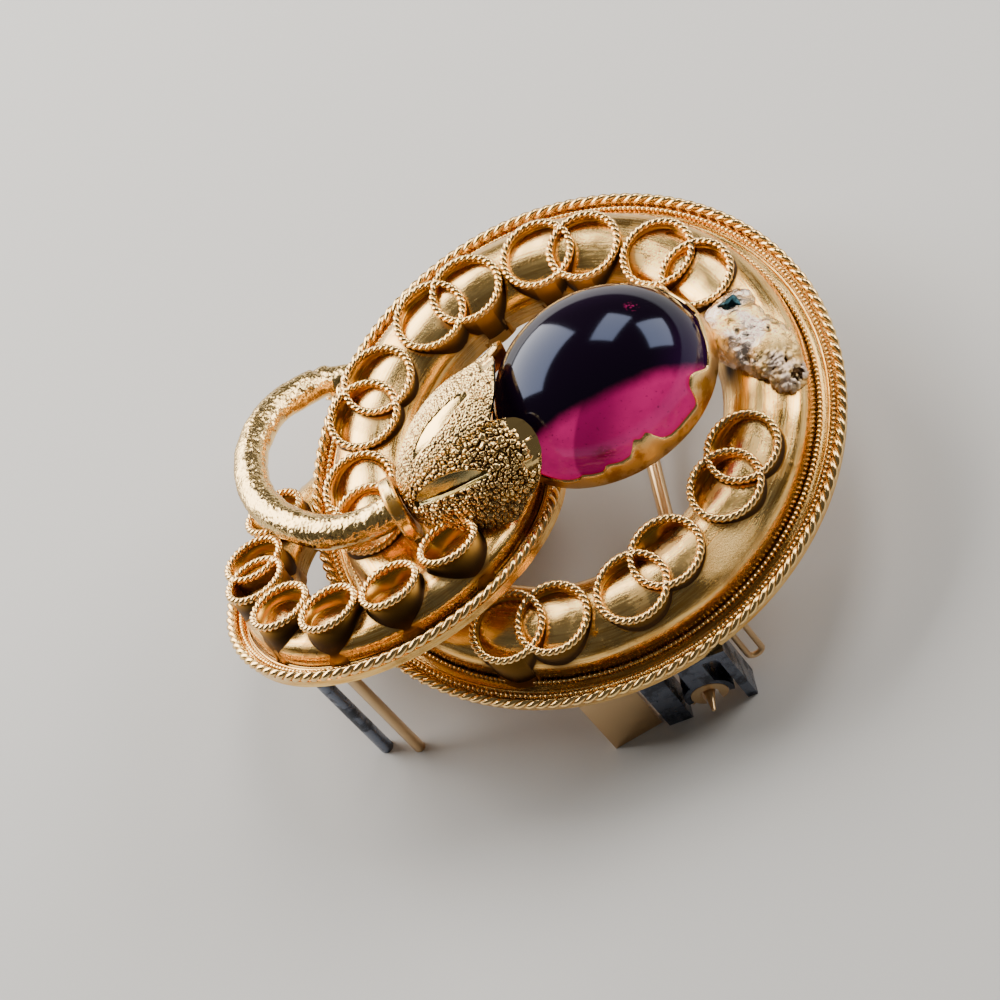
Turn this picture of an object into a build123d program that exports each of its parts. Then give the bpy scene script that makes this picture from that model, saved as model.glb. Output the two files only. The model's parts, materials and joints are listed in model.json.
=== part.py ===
from build123d import *
import math
import os

# Gold knot brooch with an oval garnet. Millimetres, front face up, +X from the stem to the stone.
# The driving dimensions come first, and every other size and place follows from them.

# Gaps that keep soldered pieces apart, and the play of moving ones
SEAT_GAP = 0.03
CROSSING_GAP = 0.06
UNDERPASS_GAP = 0.18
RUNNING_PLAY = 0.05

# Large ring, a hollow half tube with a flat border
LARGE_RADIUS = 15.1
LARGE_BORDER = 1.73
LARGE_TUBE = 2.37
LARGE_CROWN = 3.1
LARGE_WALL = 0.45
LARGE_LIP = 0.45

# Small ring, of the same make, threaded through the large one and reaching past its edge
SMALL_RADIUS = 10.3
SMALL_BORDER = 1.25
SMALL_TUBE = 1.7
SMALL_CROWN = 2.2
SMALL_WALL = 0.4
SMALL_LIP = 0.34
RING_OVERHANG = 6.0

# Height of both domes' arch over their straight shoulders, as a share of the half tube
DOME_ARCH = 0.675

# Border of both rings: a flat strip, a twisted rope at its edge and a beaded wire inside it
BORDER_THICKNESS = 0.4
ROPE_WIRE = 0.3
ROPE_OVERHANG = 0.25
BEAD_WIRE = 0.13
LINE_WIRE = 0.1
LINE_INSET = 1.08

# Wire circles over the crowns: a twisted wire on a plain strip collar. Their radii are shares
# of the crown's own radius, so that neighbours keep apart all round it.
LARGE_CIRCLE_SHARE = 0.174
SMALL_CIRCLE_SHARE = 0.214
CIRCLE_WIRE = 0.21
CIRCLE_STRIP = 0.18
LARGE_CIRCLE_LIFT = 0.02
SMALL_CIRCLE_LIFT = 0.5

# Interlinked pairs on the large ring: angle and crown-radius share of each circle of the pair
LARGE_PAIRS = (
    (20.5, 0.98, 35.0, 0.975),
    (58.7, 0.957, 73.2, 0.957),
    (96.7, 0.957, 109.5, 0.98),
    (132.8, 1.02, 143.5, 1.03),
    (165.3, 1.025, 176.0, 1.02),
    (-126.5, 1.06, -114.2, 1.025),
    (-91.2, 1.005, -78.3, 0.95),
    (-53.1, 0.97, -41.2, 0.975),
)

# Circles on the small ring: angles of the circles that join, and their crown-radius share
SMALL_GROUPS = (
    ((137.0,), 1.0),
    ((166.0, 181.0), 1.0),
    ((210.0,), 1.0),
    ((238.7,), 1.0),
    ((267.4,), 1.0),
    ((297.0,), 1.0),
)

# Line of the stem, the calyx and the stone across the rings
AXIS_Y = -0.5
AXIS_HEIGHT = 4.75

# Garnet, an oval cabochon, and its bezel, whose far end lies over the large ring's inner edge
GARNET_LENGTH = 11.8
GARNET_WIDTH = 10.1
GARNET_DOME = 4.6
GARNET_GIRDLE = 0.55
GARNET_ASIDE = 0.1
GARNET_PLAY = 0.04
BEZEL_FLOOR = 4.1
BEZEL_PLATE = 0.3
BEZEL_WALL = 0.25
BEZEL_HEIGHT = 1.6
BEZEL_OVERLAP = 0.84

# Notches of the bezel's ragged rim: angle, half width and depth as shares of the bezel's height
BEZEL_NOTCHES = (
    (-118.0, 0.45, 0.30),
    (-97.0, 0.40, 0.36),
    (-72.0, 0.55, 0.42),
    (-46.0, 0.60, 0.38),
    (-14.0, 0.50, 0.30),
    (28.0, 0.55, 0.28),
    (66.0, 0.50, 0.30),
    (101.0, 0.55, 0.28),
    (136.0, 0.50, 0.30),
)

# Calyx, a half cup of stamped sheet cut into sepals, on a level axis. It starts a little past
# the small ring's centre and grips the near end of the stone.
CALYX_SETBACK = 2.05
CALYX_GRIP = 2.22
CALYX_NECK = 1.0
CALYX_RADIUS = 4.4
CALYX_WALL = 0.3

# How far the calyx wraps below its axis, as a share of its mouth radius
CALYX_SKIRT = 0.2

# Notches between the sepals: angle round the axis from the near side, depth as a share of the
# calyx's length, width towards the near and the far side as shares of its mouth radius, and how
# full the notch's edges are
SEPAL_NOTCHES = (
    (-12.0, 0.66, 0.60, 0.78, 0.60),
    (76.0, 0.275, 0.45, 0.90, 0.35),
    (146.0, 0.20, 0.25, 0.25, 0.30),
    (192.0, 0.66, 0.78, 0.60, 0.60),
)

# Stem, a half-round twig bent into a loop, and the collar at its end
STEM_WIDTH = 1.7
STEM_HEIGHT = 1.3
STEM_LOOP = 6.0
COLLAR_WIDTH = 3.2
COLLAR_HEIGHT = 2.7
COLLAR_THICKNESS = 0.8

# Route of the stem round its loop's centre: angle, radius share and share of the drop left
STEM_ROUTE = (
    (-79.0, 1.20, 1.00),
    (-103.0, 1.10, 0.97),
    (-131.0, 0.96, 0.91),
    (-166.0, 0.87, 0.80),
    (161.0, 0.86, 0.66),
    (133.0, 0.92, 0.48),
    (110.0, 0.98, 0.28),
    (90.0, 1.03, 0.08),
    (70.0, 0.96, 0.00),
)

# Solder repair between the bezel's end and the large ring: place along and across, height over
# the ring's crown and three radii of each lump, as shares of the large ring's half tube
REPAIR_LUMPS = (
    (-0.22, -0.30, 0.10, 0.74, 0.95, 0.42),
    (0.20, -1.00, -0.10, 0.68, 0.90, 0.50),
    (0.30, -1.72, -0.22, 0.46, 0.50, 0.42),
    (0.10, 0.40, -0.02, 0.40, 0.42, 0.20),
)

# Back fittings. The insets are measured from the large ring's rim.
BACK_DEPTH = 5.5
PIN_RADIUS = 0.4
PIN_LEVEL = 3.75
PIN_CROSSING = 2.9
PIN_SKEW = 11.0
PIN_OVERRUN = 1.0
HINGE_INSET = 1.2
HINGE_CHEEK = 0.6
HINGE_SPACING = 1.3
HINGE_RADIUS = 0.85
RIVET_RADIUS = 0.35
CATCH_INSET = 0.95
CATCH_LENGTH = 1.5
CATCH_RADIUS = 1.35
CATCH_MOUTH = 144.0
ROLLER_RADIUS = 1.0
ROLLER_BORE = 0.5
ROLLER_SLOT = 0.92
LEVER_LENGTH = 0.7
LEVER_WIDTH = 0.4
LEVER_ANGLE = 142.0
CATCH_FOOT = 0.55
CATCH_BLOCK = 1.35
PLATE_WIDTH = 2.8
PLATE_THICKNESS = 0.5
PLATE_GAP = 0.45
PLATE_INSET = 0.95
LOOP_WIDTH = 1.15
LOOP_WIRE = 0.17
LOOP_DEPTH = 3.9
LOOP_GAP = 0.35
LOOP_INSET = 0.8
STEEL_POST_RADIUS = 0.38
STEEL_POST_ANGLE = -131.0
GOLD_POST_RADIUS = 0.32
GOLD_POST_ANGLE = -119.0
POST_BORDER_SHARE = 0.55

# Values worked out from the sizes above
large_centre = LARGE_RADIUS - LARGE_BORDER - LARGE_TUBE
small_centre = SMALL_RADIUS - SMALL_BORDER - SMALL_TUBE
large_edge = LARGE_RADIUS - ROPE_OVERHANG
small_edge = SMALL_RADIUS - ROPE_OVERHANG
ring_offset = LARGE_RADIUS + RING_OVERHANG - SMALL_RADIUS
bezel_end = large_centre - LARGE_TUBE + BEZEL_OVERLAP
garnet_x = bezel_end - BEZEL_WALL - GARNET_PLAY - GARNET_LENGTH / 2
garnet_y = AXIS_Y + GARNET_ASIDE
calyx_start = CALYX_SETBACK - ring_offset
calyx_end = garnet_x - GARNET_LENGTH / 2 + CALYX_GRIP
calyx_length = calyx_end - calyx_start


def crossing(small, large):
    """How far from the rings' common line a small-ring circle crosses a large-ring one."""
    along = (ring_offset ** 2 + large ** 2 - small ** 2) / (2 * ring_offset)
    return math.sqrt(large ** 2 - along ** 2)


def crossing_tilt():
    """Tilt in radians at which the small ring clears the large one on both sides.

    Its inner lip lies over the large crown on the near side, and its own crown lies under the
    large border on the far side. The stack between the two depends on the tilt itself.
    """
    arch = DOME_ARCH * SMALL_TUBE
    tilt = 0.0
    for _ in range(12):
        dome = math.hypot(SMALL_TUBE * math.sin(tilt), arch * math.cos(tilt))
        wall = (SMALL_CROWN - arch - SMALL_LIP) * math.cos(tilt)
        rise = LARGE_CROWN + CROSSING_GAP + wall + dome + UNDERPASS_GAP
        tilt = math.asin(rise / (near_reach + far_reach))
    return tilt


near_reach = crossing(small_centre - SMALL_TUBE, large_centre)
far_reach = crossing(small_centre, large_edge)
small_tilt = crossing_tilt()
tilt_cos = math.cos(small_tilt)
tilt_sin = math.sin(small_tilt)
small_height = LARGE_CROWN + CROSSING_GAP - near_reach * tilt_sin - SMALL_LIP * tilt_cos
small_place = Location((-ring_offset, 0, small_height), (-math.degrees(small_tilt), 0, 0))


def polar(radius, angle, height=0.0):
    """A point at a radius and an angle in degrees round the upright axis."""
    turn = math.radians(angle)
    return (radius * math.cos(turn), radius * math.sin(turn), height)


def turned(outline):
    """A closed outline of lines and arcs in the XZ plane, turned about the upright axis."""
    return revolve(make_face(Plane.XZ * outline), Axis.Z)


def arch(centre, half, shoulder, height):
    """Half an ellipse over a shoulder, from its outer to its inner end."""
    return EllipticalCenterArc((centre, shoulder), half, height, 0, arc_size=180)


def ring_body(edge, centre, tube, crown, wall, lip):
    """Hollow half tube with a flat border, open at the back."""
    height = DOME_ARCH * tube
    shoulder = crown - height
    inside = tube - wall
    outline = (
        Polyline((centre + inside, shoulder), (centre + inside, 0), (edge, 0), (edge, BORDER_THICKNESS))
        + Polyline((edge, BORDER_THICKNESS), (centre + tube, BORDER_THICKNESS), (centre + tube, shoulder))
        + arch(centre, tube, shoulder, height)
        + Polyline((centre - tube, shoulder), (centre - tube, lip), (centre - inside, lip))
        + Line((centre - inside, lip), (centre - inside, shoulder))
        + arch(centre, inside, shoulder, height - wall)
    )
    return turned(outline)


def ring_envelope(edge, centre, tube, crown):
    """The space under a ring's outer skin, a seat gap larger, that cuts what is set on it."""
    outer = tube + SEAT_GAP
    top = BORDER_THICKNESS + SEAT_GAP
    height = DOME_ARCH * tube
    shoulder = crown - height
    outline = (
        Polyline((centre - outer, shoulder), (centre - outer, 0), (edge, 0), (edge, top), (centre + outer, top))
        + Line((centre + outer, top), (centre + outer, shoulder))
        + arch(centre, outer, shoulder, height + SEAT_GAP)
    )
    return turned(outline)


def border_wires(radius):
    """The rope, the beaded wire and the plain wire of a ring's border."""
    rope_level = BORDER_THICKNESS + SEAT_GAP + ROPE_WIRE
    rope = Pos(0, 0, rope_level) * Torus(radius - ROPE_WIRE, ROPE_WIRE)
    bead_level = BORDER_THICKNESS + SEAT_GAP + BEAD_WIRE
    bead_inset = 2 * ROPE_WIRE + 2 * SEAT_GAP + BEAD_WIRE
    beading = Pos(0, 0, bead_level) * Torus(radius - bead_inset, BEAD_WIRE)
    line = Pos(0, 0, BORDER_THICKNESS) * Torus(radius - LINE_INSET, LINE_WIRE)
    return rope, beading, line


def wire_circles(places, radius, crown, lift, envelope):
    """Circles of wire on strip collars, joined where they interlink, cut to stand on a crown."""
    wire_level = crown + SEAT_GAP + lift + CIRCLE_WIRE
    collars = []
    wires = []
    for angle, centre in places:
        here = Location(polar(centre, angle, wire_level))
        strip = Cylinder(radius + CIRCLE_STRIP / 2, crown) - Cylinder(radius - CIRCLE_STRIP / 2, crown)
        collars.append(here * Pos(0, 0, -crown / 2) * strip - envelope)
        wires.append(here * Torus(radius, CIRCLE_WIRE))
    joined = collars[0]
    for collar in collars[1:]:
        joined += collar
    for wire in wires:
        joined += wire
    return joined


def circle_space(angle, share):
    """The round space, a seat gap larger, that a circle on the small ring takes up."""
    radius = SMALL_CIRCLE_SHARE * small_centre + CIRCLE_WIRE + SEAT_GAP
    height = SMALL_CROWN + SMALL_CIRCLE_LIFT + 2 * CIRCLE_WIRE + 2 * SEAT_GAP
    return Pos(*polar(share * small_centre, angle, height / 2)) * Cylinder(radius, height)


def ellipsoid(along, across, up):
    """A ball stretched to three radii."""
    return scale(Sphere(1), by=(along, across, up))


def make_garnet():
    """Oval cabochon: a low straight girdle under a high dome."""
    along = GARNET_LENGTH / 2
    across = GARNET_WIDTH / 2
    base = BEZEL_FLOOR + BEZEL_PLATE + GARNET_PLAY
    girdle = extrude(Ellipse(along, across), GARNET_GIRDLE)
    upper = ellipsoid(along, across, GARNET_DOME) & Pos(0, 0, GARNET_DOME) * Box(
        2 * GARNET_LENGTH, 2 * GARNET_WIDTH, 2 * GARNET_DOME
    )
    return Pos(garnet_x, garnet_y, base) * (girdle + Pos(0, 0, GARNET_GIRDLE) * upper)


def bezel_blank(grow=0.0):
    """The bezel's outside, an upright oval."""
    along = GARNET_LENGTH / 2 + GARNET_PLAY + BEZEL_WALL + grow
    across = GARNET_WIDTH / 2 + GARNET_PLAY + BEZEL_WALL + grow
    return extrude(Ellipse(along, across), BEZEL_HEIGHT + grow)


def make_bezel():
    """Oval cup of thin sheet round the stone, its rim cut in ragged notches."""
    along = GARNET_LENGTH / 2 + GARNET_PLAY
    across = GARNET_WIDTH / 2 + GARNET_PLAY
    hollow = Pos(0, 0, BEZEL_PLATE) * extrude(Ellipse(along, across), BEZEL_HEIGHT)
    cup = bezel_blank() - hollow
    for angle, half_width, depth in BEZEL_NOTCHES:
        half = half_width * BEZEL_HEIGHT
        low = -depth * BEZEL_HEIGHT
        notch = make_face(Plane.YZ * Polyline((-half, BEZEL_WALL), (0, low), (half, BEZEL_WALL), (-half, BEZEL_WALL)))
        cutter = extrude(notch, GARNET_LENGTH)
        cup -= Pos(0, 0, BEZEL_HEIGHT) * Rot(0, 0, angle) * cutter
    return Pos(garnet_x, garnet_y, BEZEL_FLOOR) * cup


def cup_solid(shrink):
    """The calyx's cup about the X axis, thinner all round by a shrink."""
    swell = calyx_start + 0.25 * calyx_length
    full = calyx_start + 0.66 * calyx_length
    outline = (
        ThreePointArc(
            (calyx_start + shrink / 2, CALYX_NECK - shrink),
            (swell + shrink / 2, 0.73 * CALYX_RADIUS - shrink),
            (full + shrink / 2, CALYX_RADIUS - shrink),
        )
        + Line((full + shrink / 2, CALYX_RADIUS - shrink), (calyx_end + shrink, CALYX_RADIUS - shrink))
        + Polyline((calyx_end + shrink, CALYX_RADIUS - shrink), (calyx_end + shrink, 0), (calyx_start + shrink / 2, 0))
        + Line((calyx_start + shrink / 2, 0), (calyx_start + shrink / 2, CALYX_NECK - shrink))
    )
    return revolve(make_face(outline), Axis.X)


def make_calyx(small_envelope):
    """Thin cup that wraps a little below its axis, with rounded sepals between curved notches."""
    cup = cup_solid(0) - cup_solid(CALYX_WALL)
    low = -CALYX_SKIRT * CALYX_RADIUS
    cup &= Pos(0, 0, low + CALYX_RADIUS) * Box(6 * CALYX_RADIUS, 3 * CALYX_RADIUS, 2 * CALYX_RADIUS)
    end = calyx_end + CALYX_WALL
    for angle, depth, near_width, far_width, fullness in SEPAL_NOTCHES:
        tip = end - depth * calyx_length
        middle = (tip + end) / 2
        near = -near_width * CALYX_RADIUS
        far = far_width * CALYX_RADIUS
        near_side = ThreePointArc((tip, 0), (middle, fullness * near), (end, near))
        far_side = ThreePointArc((tip, 0), (middle, fullness * far), (end, far))
        notch = make_face(near_side + Line((end, near), (end, far)) + far_side)
        cutter = extrude(notch, 2 * CALYX_RADIUS)
        cup -= Rot(90 - angle, 0, 0) * cutter
    cup = Pos(0, AXIS_Y, AXIS_HEIGHT) * cup - small_place * small_envelope
    for angles, share in SMALL_GROUPS:
        for angle in angles:
            cup -= small_place * circle_space(angle, share)
    return cup


def half_round(width, height):
    """A D section, flat below, with its middle a little over the flat."""
    low = -0.4 * height
    flat = Line((-width / 2, low), (width / 2, low))
    return make_face(flat + ThreePointArc((width / 2, low), (0, low + height), (-width / 2, low)))


def make_stem():
    """Half-round twig that leaves the collar, loops round and ends under the large ring."""
    first_angle, first_share, first_drop = STEM_ROUTE[0]
    start_x = calyx_start - COLLAR_THICKNESS - 2 * SEAT_GAP
    first = polar(first_share * STEM_LOOP, first_angle)
    centre_x = start_x - first[0]
    centre_y = AXIS_Y - first[1]
    low = -0.6 * STEM_HEIGHT - SEAT_GAP
    points = []
    for angle, share, left in STEM_ROUTE:
        x, y, z = polar(share * STEM_LOOP, angle)
        points.append((centre_x + x, centre_y + y, low + left * (AXIS_HEIGHT - low)))
    path = Spline(points, tangents=[(-1, 0, 0), (1, -0.35, 0)])
    upright = (Pos(0, 0, STEM_LOOP) * path).edges()[0]
    across = Vector(0, 0, 1).cross(path % 0)
    section = Plane(origin=path @ 0, x_dir=across, z_dir=path % 0) * half_round(STEM_WIDTH, STEM_HEIGHT)
    return sweep(section, path=path, binormal=upright)


def make_collar():
    """Polished band between the stem and the calyx."""
    face = Plane(origin=(0, 0, 0), x_dir=(0, 1, 0), z_dir=(1, 0, 0)) * half_round(COLLAR_WIDTH, COLLAR_HEIGHT)
    band = extrude(face, COLLAR_THICKNESS)
    band = fillet(band.edges().filter_by(GeomType.CIRCLE), COLLAR_THICKNESS / 4)
    return Pos(calyx_start - SEAT_GAP - COLLAR_THICKNESS, AXIS_Y, AXIS_HEIGHT) * band


def make_repair(envelope):
    """Rough lump of solder that bridges the bezel's end and the large ring."""
    lump = None
    for along, across, over, long, wide, high in REPAIR_LUMPS:
        place = Pos(large_centre + along * LARGE_TUBE, across * LARGE_TUBE, LARGE_CROWN + over * LARGE_TUBE)
        ball = place * ellipsoid(long * LARGE_TUBE, wide * LARGE_TUBE, high * LARGE_TUBE)
        lump = ball if lump is None else lump + ball
    lump -= envelope
    return lump - Pos(garnet_x, garnet_y, BEZEL_FLOOR) * bezel_blank(2 * SEAT_GAP)


# The pin lies under the rings. In its own frame it runs along -Y from the hinge, and its
# crossing point with the rings' common line is the frame's origin.
pin_place = Location((PIN_CROSSING, 0, -PIN_LEVEL), (0, 0, -PIN_SKEW))
hinge_y = math.sqrt((LARGE_RADIUS - HINGE_INSET) ** 2 - PIN_CROSSING ** 2)
catch_y = CATCH_INSET - LARGE_RADIUS
catch_clear = CATCH_RADIUS + 4 * RUNNING_PLAY


def foot_plate(width, length, thickness):
    """A plate soldered flat under a ring's border, in the pin's frame."""
    return Pos(0, 0, PIN_LEVEL - SEAT_GAP - thickness / 2) * Box(width, length, thickness)


def make_hinge():
    """Base plate, two cheeks that stand on the table, and a rivet through them."""
    reach = HINGE_SPACING / 2 + HINGE_CHEEK
    length = 2 * HINGE_RADIUS
    hinge = foot_plate(2 * reach, length, HINGE_CHEEK)
    tall = BACK_DEPTH - SEAT_GAP
    for side in (-1, 1):
        cheek = Box(HINGE_CHEEK, length, tall)
        middle = PIN_LEVEL - SEAT_GAP - tall / 2
        hinge += Pos(side * (HINGE_SPACING + HINGE_CHEEK) / 2, 0, middle) * cheek
    hinge += Rot(0, 90, 0) * Cylinder(RIVET_RADIUS, 2 * reach)
    return pin_place * Pos(0, hinge_y, 0) * hinge


def make_pin():
    """Round stem with a pointed end and a knuckle on the hinge's rivet."""
    knuckle_width = HINGE_SPACING - 2 * RUNNING_PLAY
    point = 4 * PIN_RADIUS
    reach = hinge_y - catch_y + CATCH_LENGTH / 2 + PIN_OVERRUN
    straight = reach - point
    stem = Pos(0, -straight / 2, 0) * Rot(90, 0, 0) * Cylinder(PIN_RADIUS, straight)
    tip = Pos(0, -straight - point / 2, 0) * Rot(90, 0, 0) * Cone(PIN_RADIUS, PIN_RADIUS / 4, point)
    knuckle = Rot(0, 90, 0) * Cylinder(HINGE_RADIUS - 2 * RUNNING_PLAY, knuckle_width)
    bore = Rot(0, 90, 0) * Cylinder(RIVET_RADIUS + RUNNING_PLAY, 2 * HINGE_SPACING)
    return pin_place * Pos(0, hinge_y, 0) * (knuckle + stem + tip - bore)


def wedge_below(radius, length, mouth):
    """A wedge about the Y axis, open downward over a mouth in degrees."""
    first = polar(radius, -90 - mouth / 2)
    last = polar(radius, -90 + mouth / 2)
    edge = ThreePointArc(first[:2], (0, -radius), last[:2])
    face = make_face(Line((0, 0), first[:2]) + edge + Line(last[:2], (0, 0)))
    return Rot(90, 0, 0) * Pos(0, 0, -length / 2) * extrude(face, length)


def across_pin(radius, length):
    """A cylinder about the pin's line."""
    return Rot(90, 0, 0) * Cylinder(radius, length)


def make_catch_housing():
    """Saddle under the near rim: a barrel open below that holds the roller, with two feet."""
    bore = ROLLER_RADIUS + RUNNING_PLAY
    barrel = across_pin(CATCH_RADIUS, CATCH_LENGTH) - across_pin(bore, CATCH_LENGTH)
    barrel -= wedge_below(2 * CATCH_RADIUS, 2 * CATCH_LENGTH, CATCH_MOUTH)
    neck_height = PIN_LEVEL - SEAT_GAP - bore
    neck = Pos(0, 0, PIN_LEVEL - SEAT_GAP - neck_height / 2) * Box(CATCH_RADIUS, CATCH_LENGTH, neck_height)
    neck -= across_pin(bore, 2 * CATCH_LENGTH)
    housing = barrel + neck + foot_plate(2 * CATCH_RADIUS, CATCH_LENGTH, CATCH_FOOT)
    tall = BACK_DEPTH - SEAT_GAP
    middle = PIN_LEVEL - SEAT_GAP - tall / 2
    for side, width in ((-1, CATCH_BLOCK), (1, CATCH_FOOT)):
        foot = Pos(side * (catch_clear + width / 2), 0, middle) * Box(width, CATCH_LENGTH, tall)
        bridge_length = catch_clear + width / 2
        bridge = Pos(side * bridge_length / 2, 0, PIN_LEVEL - SEAT_GAP - CATCH_FOOT / 2) * Box(
            bridge_length, CATCH_LENGTH, CATCH_FOOT
        )
        housing += foot + bridge
    return pin_place * Pos(0, catch_y, 0) * housing


def make_catch_roller():
    """C-shaped roller round the pin, with a small thumb lever; open below at rest."""
    ring = across_pin(ROLLER_RADIUS, CATCH_LENGTH) - across_pin(ROLLER_BORE, 2 * CATCH_LENGTH)
    ring -= Pos(0, 0, -ROLLER_RADIUS) * Box(ROLLER_SLOT, 2 * CATCH_LENGTH, 2 * ROLLER_RADIUS)
    root = (ROLLER_BORE + ROLLER_RADIUS) / 2
    reach = ROLLER_RADIUS + LEVER_LENGTH - root
    lever = Pos(root + reach / 2, 0, 0) * Box(reach, CATCH_LENGTH / 2, LEVER_WIDTH)
    ring += Rot(0, LEVER_ANGLE, 0) * lever
    return pin_place * Pos(0, catch_y, 0) * ring


def beside_catch(side, foot, gap, width, inset):
    """Place under the near rim, to one side of the catch, a gap past the outside of its foot."""
    middle = (pin_place * Pos(0, catch_y, 0)).position
    reach = LARGE_RADIUS - inset
    turn = (catch_clear + foot + gap + width / 2) / reach
    return polar(reach, math.degrees(math.atan2(middle.Y, middle.X) + side * turn), -SEAT_GAP)


def make_plate():
    """Upright rectangular plate under the near rim, which stands on the table."""
    tall = BACK_DEPTH - SEAT_GAP
    place = Pos(*beside_catch(-1, CATCH_BLOCK, PLATE_GAP, PLATE_WIDTH, PLATE_INSET))
    return place * Pos(0, 0, -tall / 2) * Box(PLATE_WIDTH, PLATE_THICKNESS, tall)


def make_loop():
    """Small U-shaped wire loop for a safety chain."""
    half = LOOP_WIDTH / 2 - LOOP_WIRE
    straight = LOOP_DEPTH - SEAT_GAP - half - LOOP_WIRE
    path = (
        Line((-half, 0), (-half, -straight))
        + ThreePointArc((-half, -straight), (0, -straight - half), (half, -straight))
        + Line((half, -straight), (half, 0))
    )
    path = Plane.XZ * path
    section = Pos(-half, 0, 0) * Circle(LOOP_WIRE)
    place = Pos(*beside_catch(1, CATCH_FOOT, LOOP_GAP, LOOP_WIDTH, LOOP_INSET))
    return place * sweep(section, path=path)


def make_post(radius, angle):
    """Upright post from the table to the small ring's border."""
    reach = small_edge - POST_BORDER_SHARE * (SMALL_BORDER - ROPE_OVERHANG)
    local = polar(reach, angle)
    x = local[0] - ring_offset
    y = local[1] * tilt_cos
    underside = small_height - local[1] * tilt_sin
    top = underside - SEAT_GAP - radius * tilt_sin
    tall = top + BACK_DEPTH
    return Pos(x, y, top - tall / 2) * Cylinder(radius, tall)


def make_parts():
    """Every piece of the brooch by name, about the large ring's centre."""
    parts = {}
    large_envelope = ring_envelope(large_edge, large_centre, LARGE_TUBE, LARGE_CROWN)
    small_envelope = ring_envelope(small_edge, small_centre, SMALL_TUBE, SMALL_CROWN)

    rope, beading, line = border_wires(LARGE_RADIUS)
    body = ring_body(large_edge, large_centre, LARGE_TUBE, LARGE_CROWN, LARGE_WALL, LARGE_LIP)
    parts["large_ring"] = body + line
    parts["large_ring_rope"] = rope
    parts["large_ring_beading"] = beading
    for number, (angle_a, share_a, angle_b, share_b) in enumerate(LARGE_PAIRS, 1):
        places = ((angle_a, share_a * large_centre), (angle_b, share_b * large_centre))
        parts[f"large_ring_circles_{number}"] = wire_circles(
            places, LARGE_CIRCLE_SHARE * large_centre, LARGE_CROWN, LARGE_CIRCLE_LIFT, large_envelope
        )

    rope, beading, line = border_wires(SMALL_RADIUS)
    body = ring_body(small_edge, small_centre, SMALL_TUBE, SMALL_CROWN, SMALL_WALL, SMALL_LIP)
    parts["small_ring"] = small_place * (body + line)
    parts["small_ring_rope"] = small_place * rope
    parts["small_ring_beading"] = small_place * beading
    for number, (angles, share) in enumerate(SMALL_GROUPS, 1):
        places = [(angle, share * small_centre) for angle in angles]
        parts[f"small_ring_circles_{number}"] = small_place * wire_circles(
            places, SMALL_CIRCLE_SHARE * small_centre, SMALL_CROWN, SMALL_CIRCLE_LIFT, small_envelope
        )

    parts["stem"] = make_stem()
    parts["stem_collar"] = make_collar()
    parts["calyx"] = make_calyx(small_envelope)
    parts["bezel"] = make_bezel()
    parts["garnet"] = make_garnet()
    parts["solder_repair"] = make_repair(large_envelope)

    parts["pin_hinge"] = make_hinge()
    parts["pin_stem"] = make_pin()
    parts["catch_housing"] = make_catch_housing()
    parts["catch_roller"] = make_catch_roller()
    parts["back_plate"] = make_plate()
    parts["chain_loop"] = make_loop()
    parts["steel_post"] = make_post(STEEL_POST_RADIUS, STEEL_POST_ANGLE)
    parts["gold_post"] = make_post(GOLD_POST_RADIUS, GOLD_POST_ANGLE)
    return parts


def main():
    """Moves the brooch so that its box stands centred on the origin, and writes each piece."""
    parts = make_parts()
    box = Compound(children=[Part() + piece for piece in parts.values()]).bounding_box()
    shift = Location((-(box.min.X + box.max.X) / 2, -(box.min.Y + box.max.Y) / 2, -box.min.Z))
    os.makedirs("parts", exist_ok=True)
    for name, piece in parts.items():
        export_step(shift * piece, f"parts/{name}.step")
    print("box", [round(v, 3) for v in (*box.size,)], "shift", [round(v, 4) for v in (*shift.position,)])
    print("small ring: tilt", round(math.degrees(small_tilt), 3), "height", round(small_height, 4))
    axes = shift * pin_place
    for name, y in (("pin_swing", hinge_y), ("catch_turn", catch_y)):
        point = axes * Pos(0, y, 0)
        print(name, [round(v, 4) for v in (*point.position,)])
    across = Plane(pin_place).x_dir
    along = Plane(pin_place).y_dir
    print("across pin", [round(v, 5) for v in (*across,)], "along pin", [round(v, 5) for v in (*along,)])


main()
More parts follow.
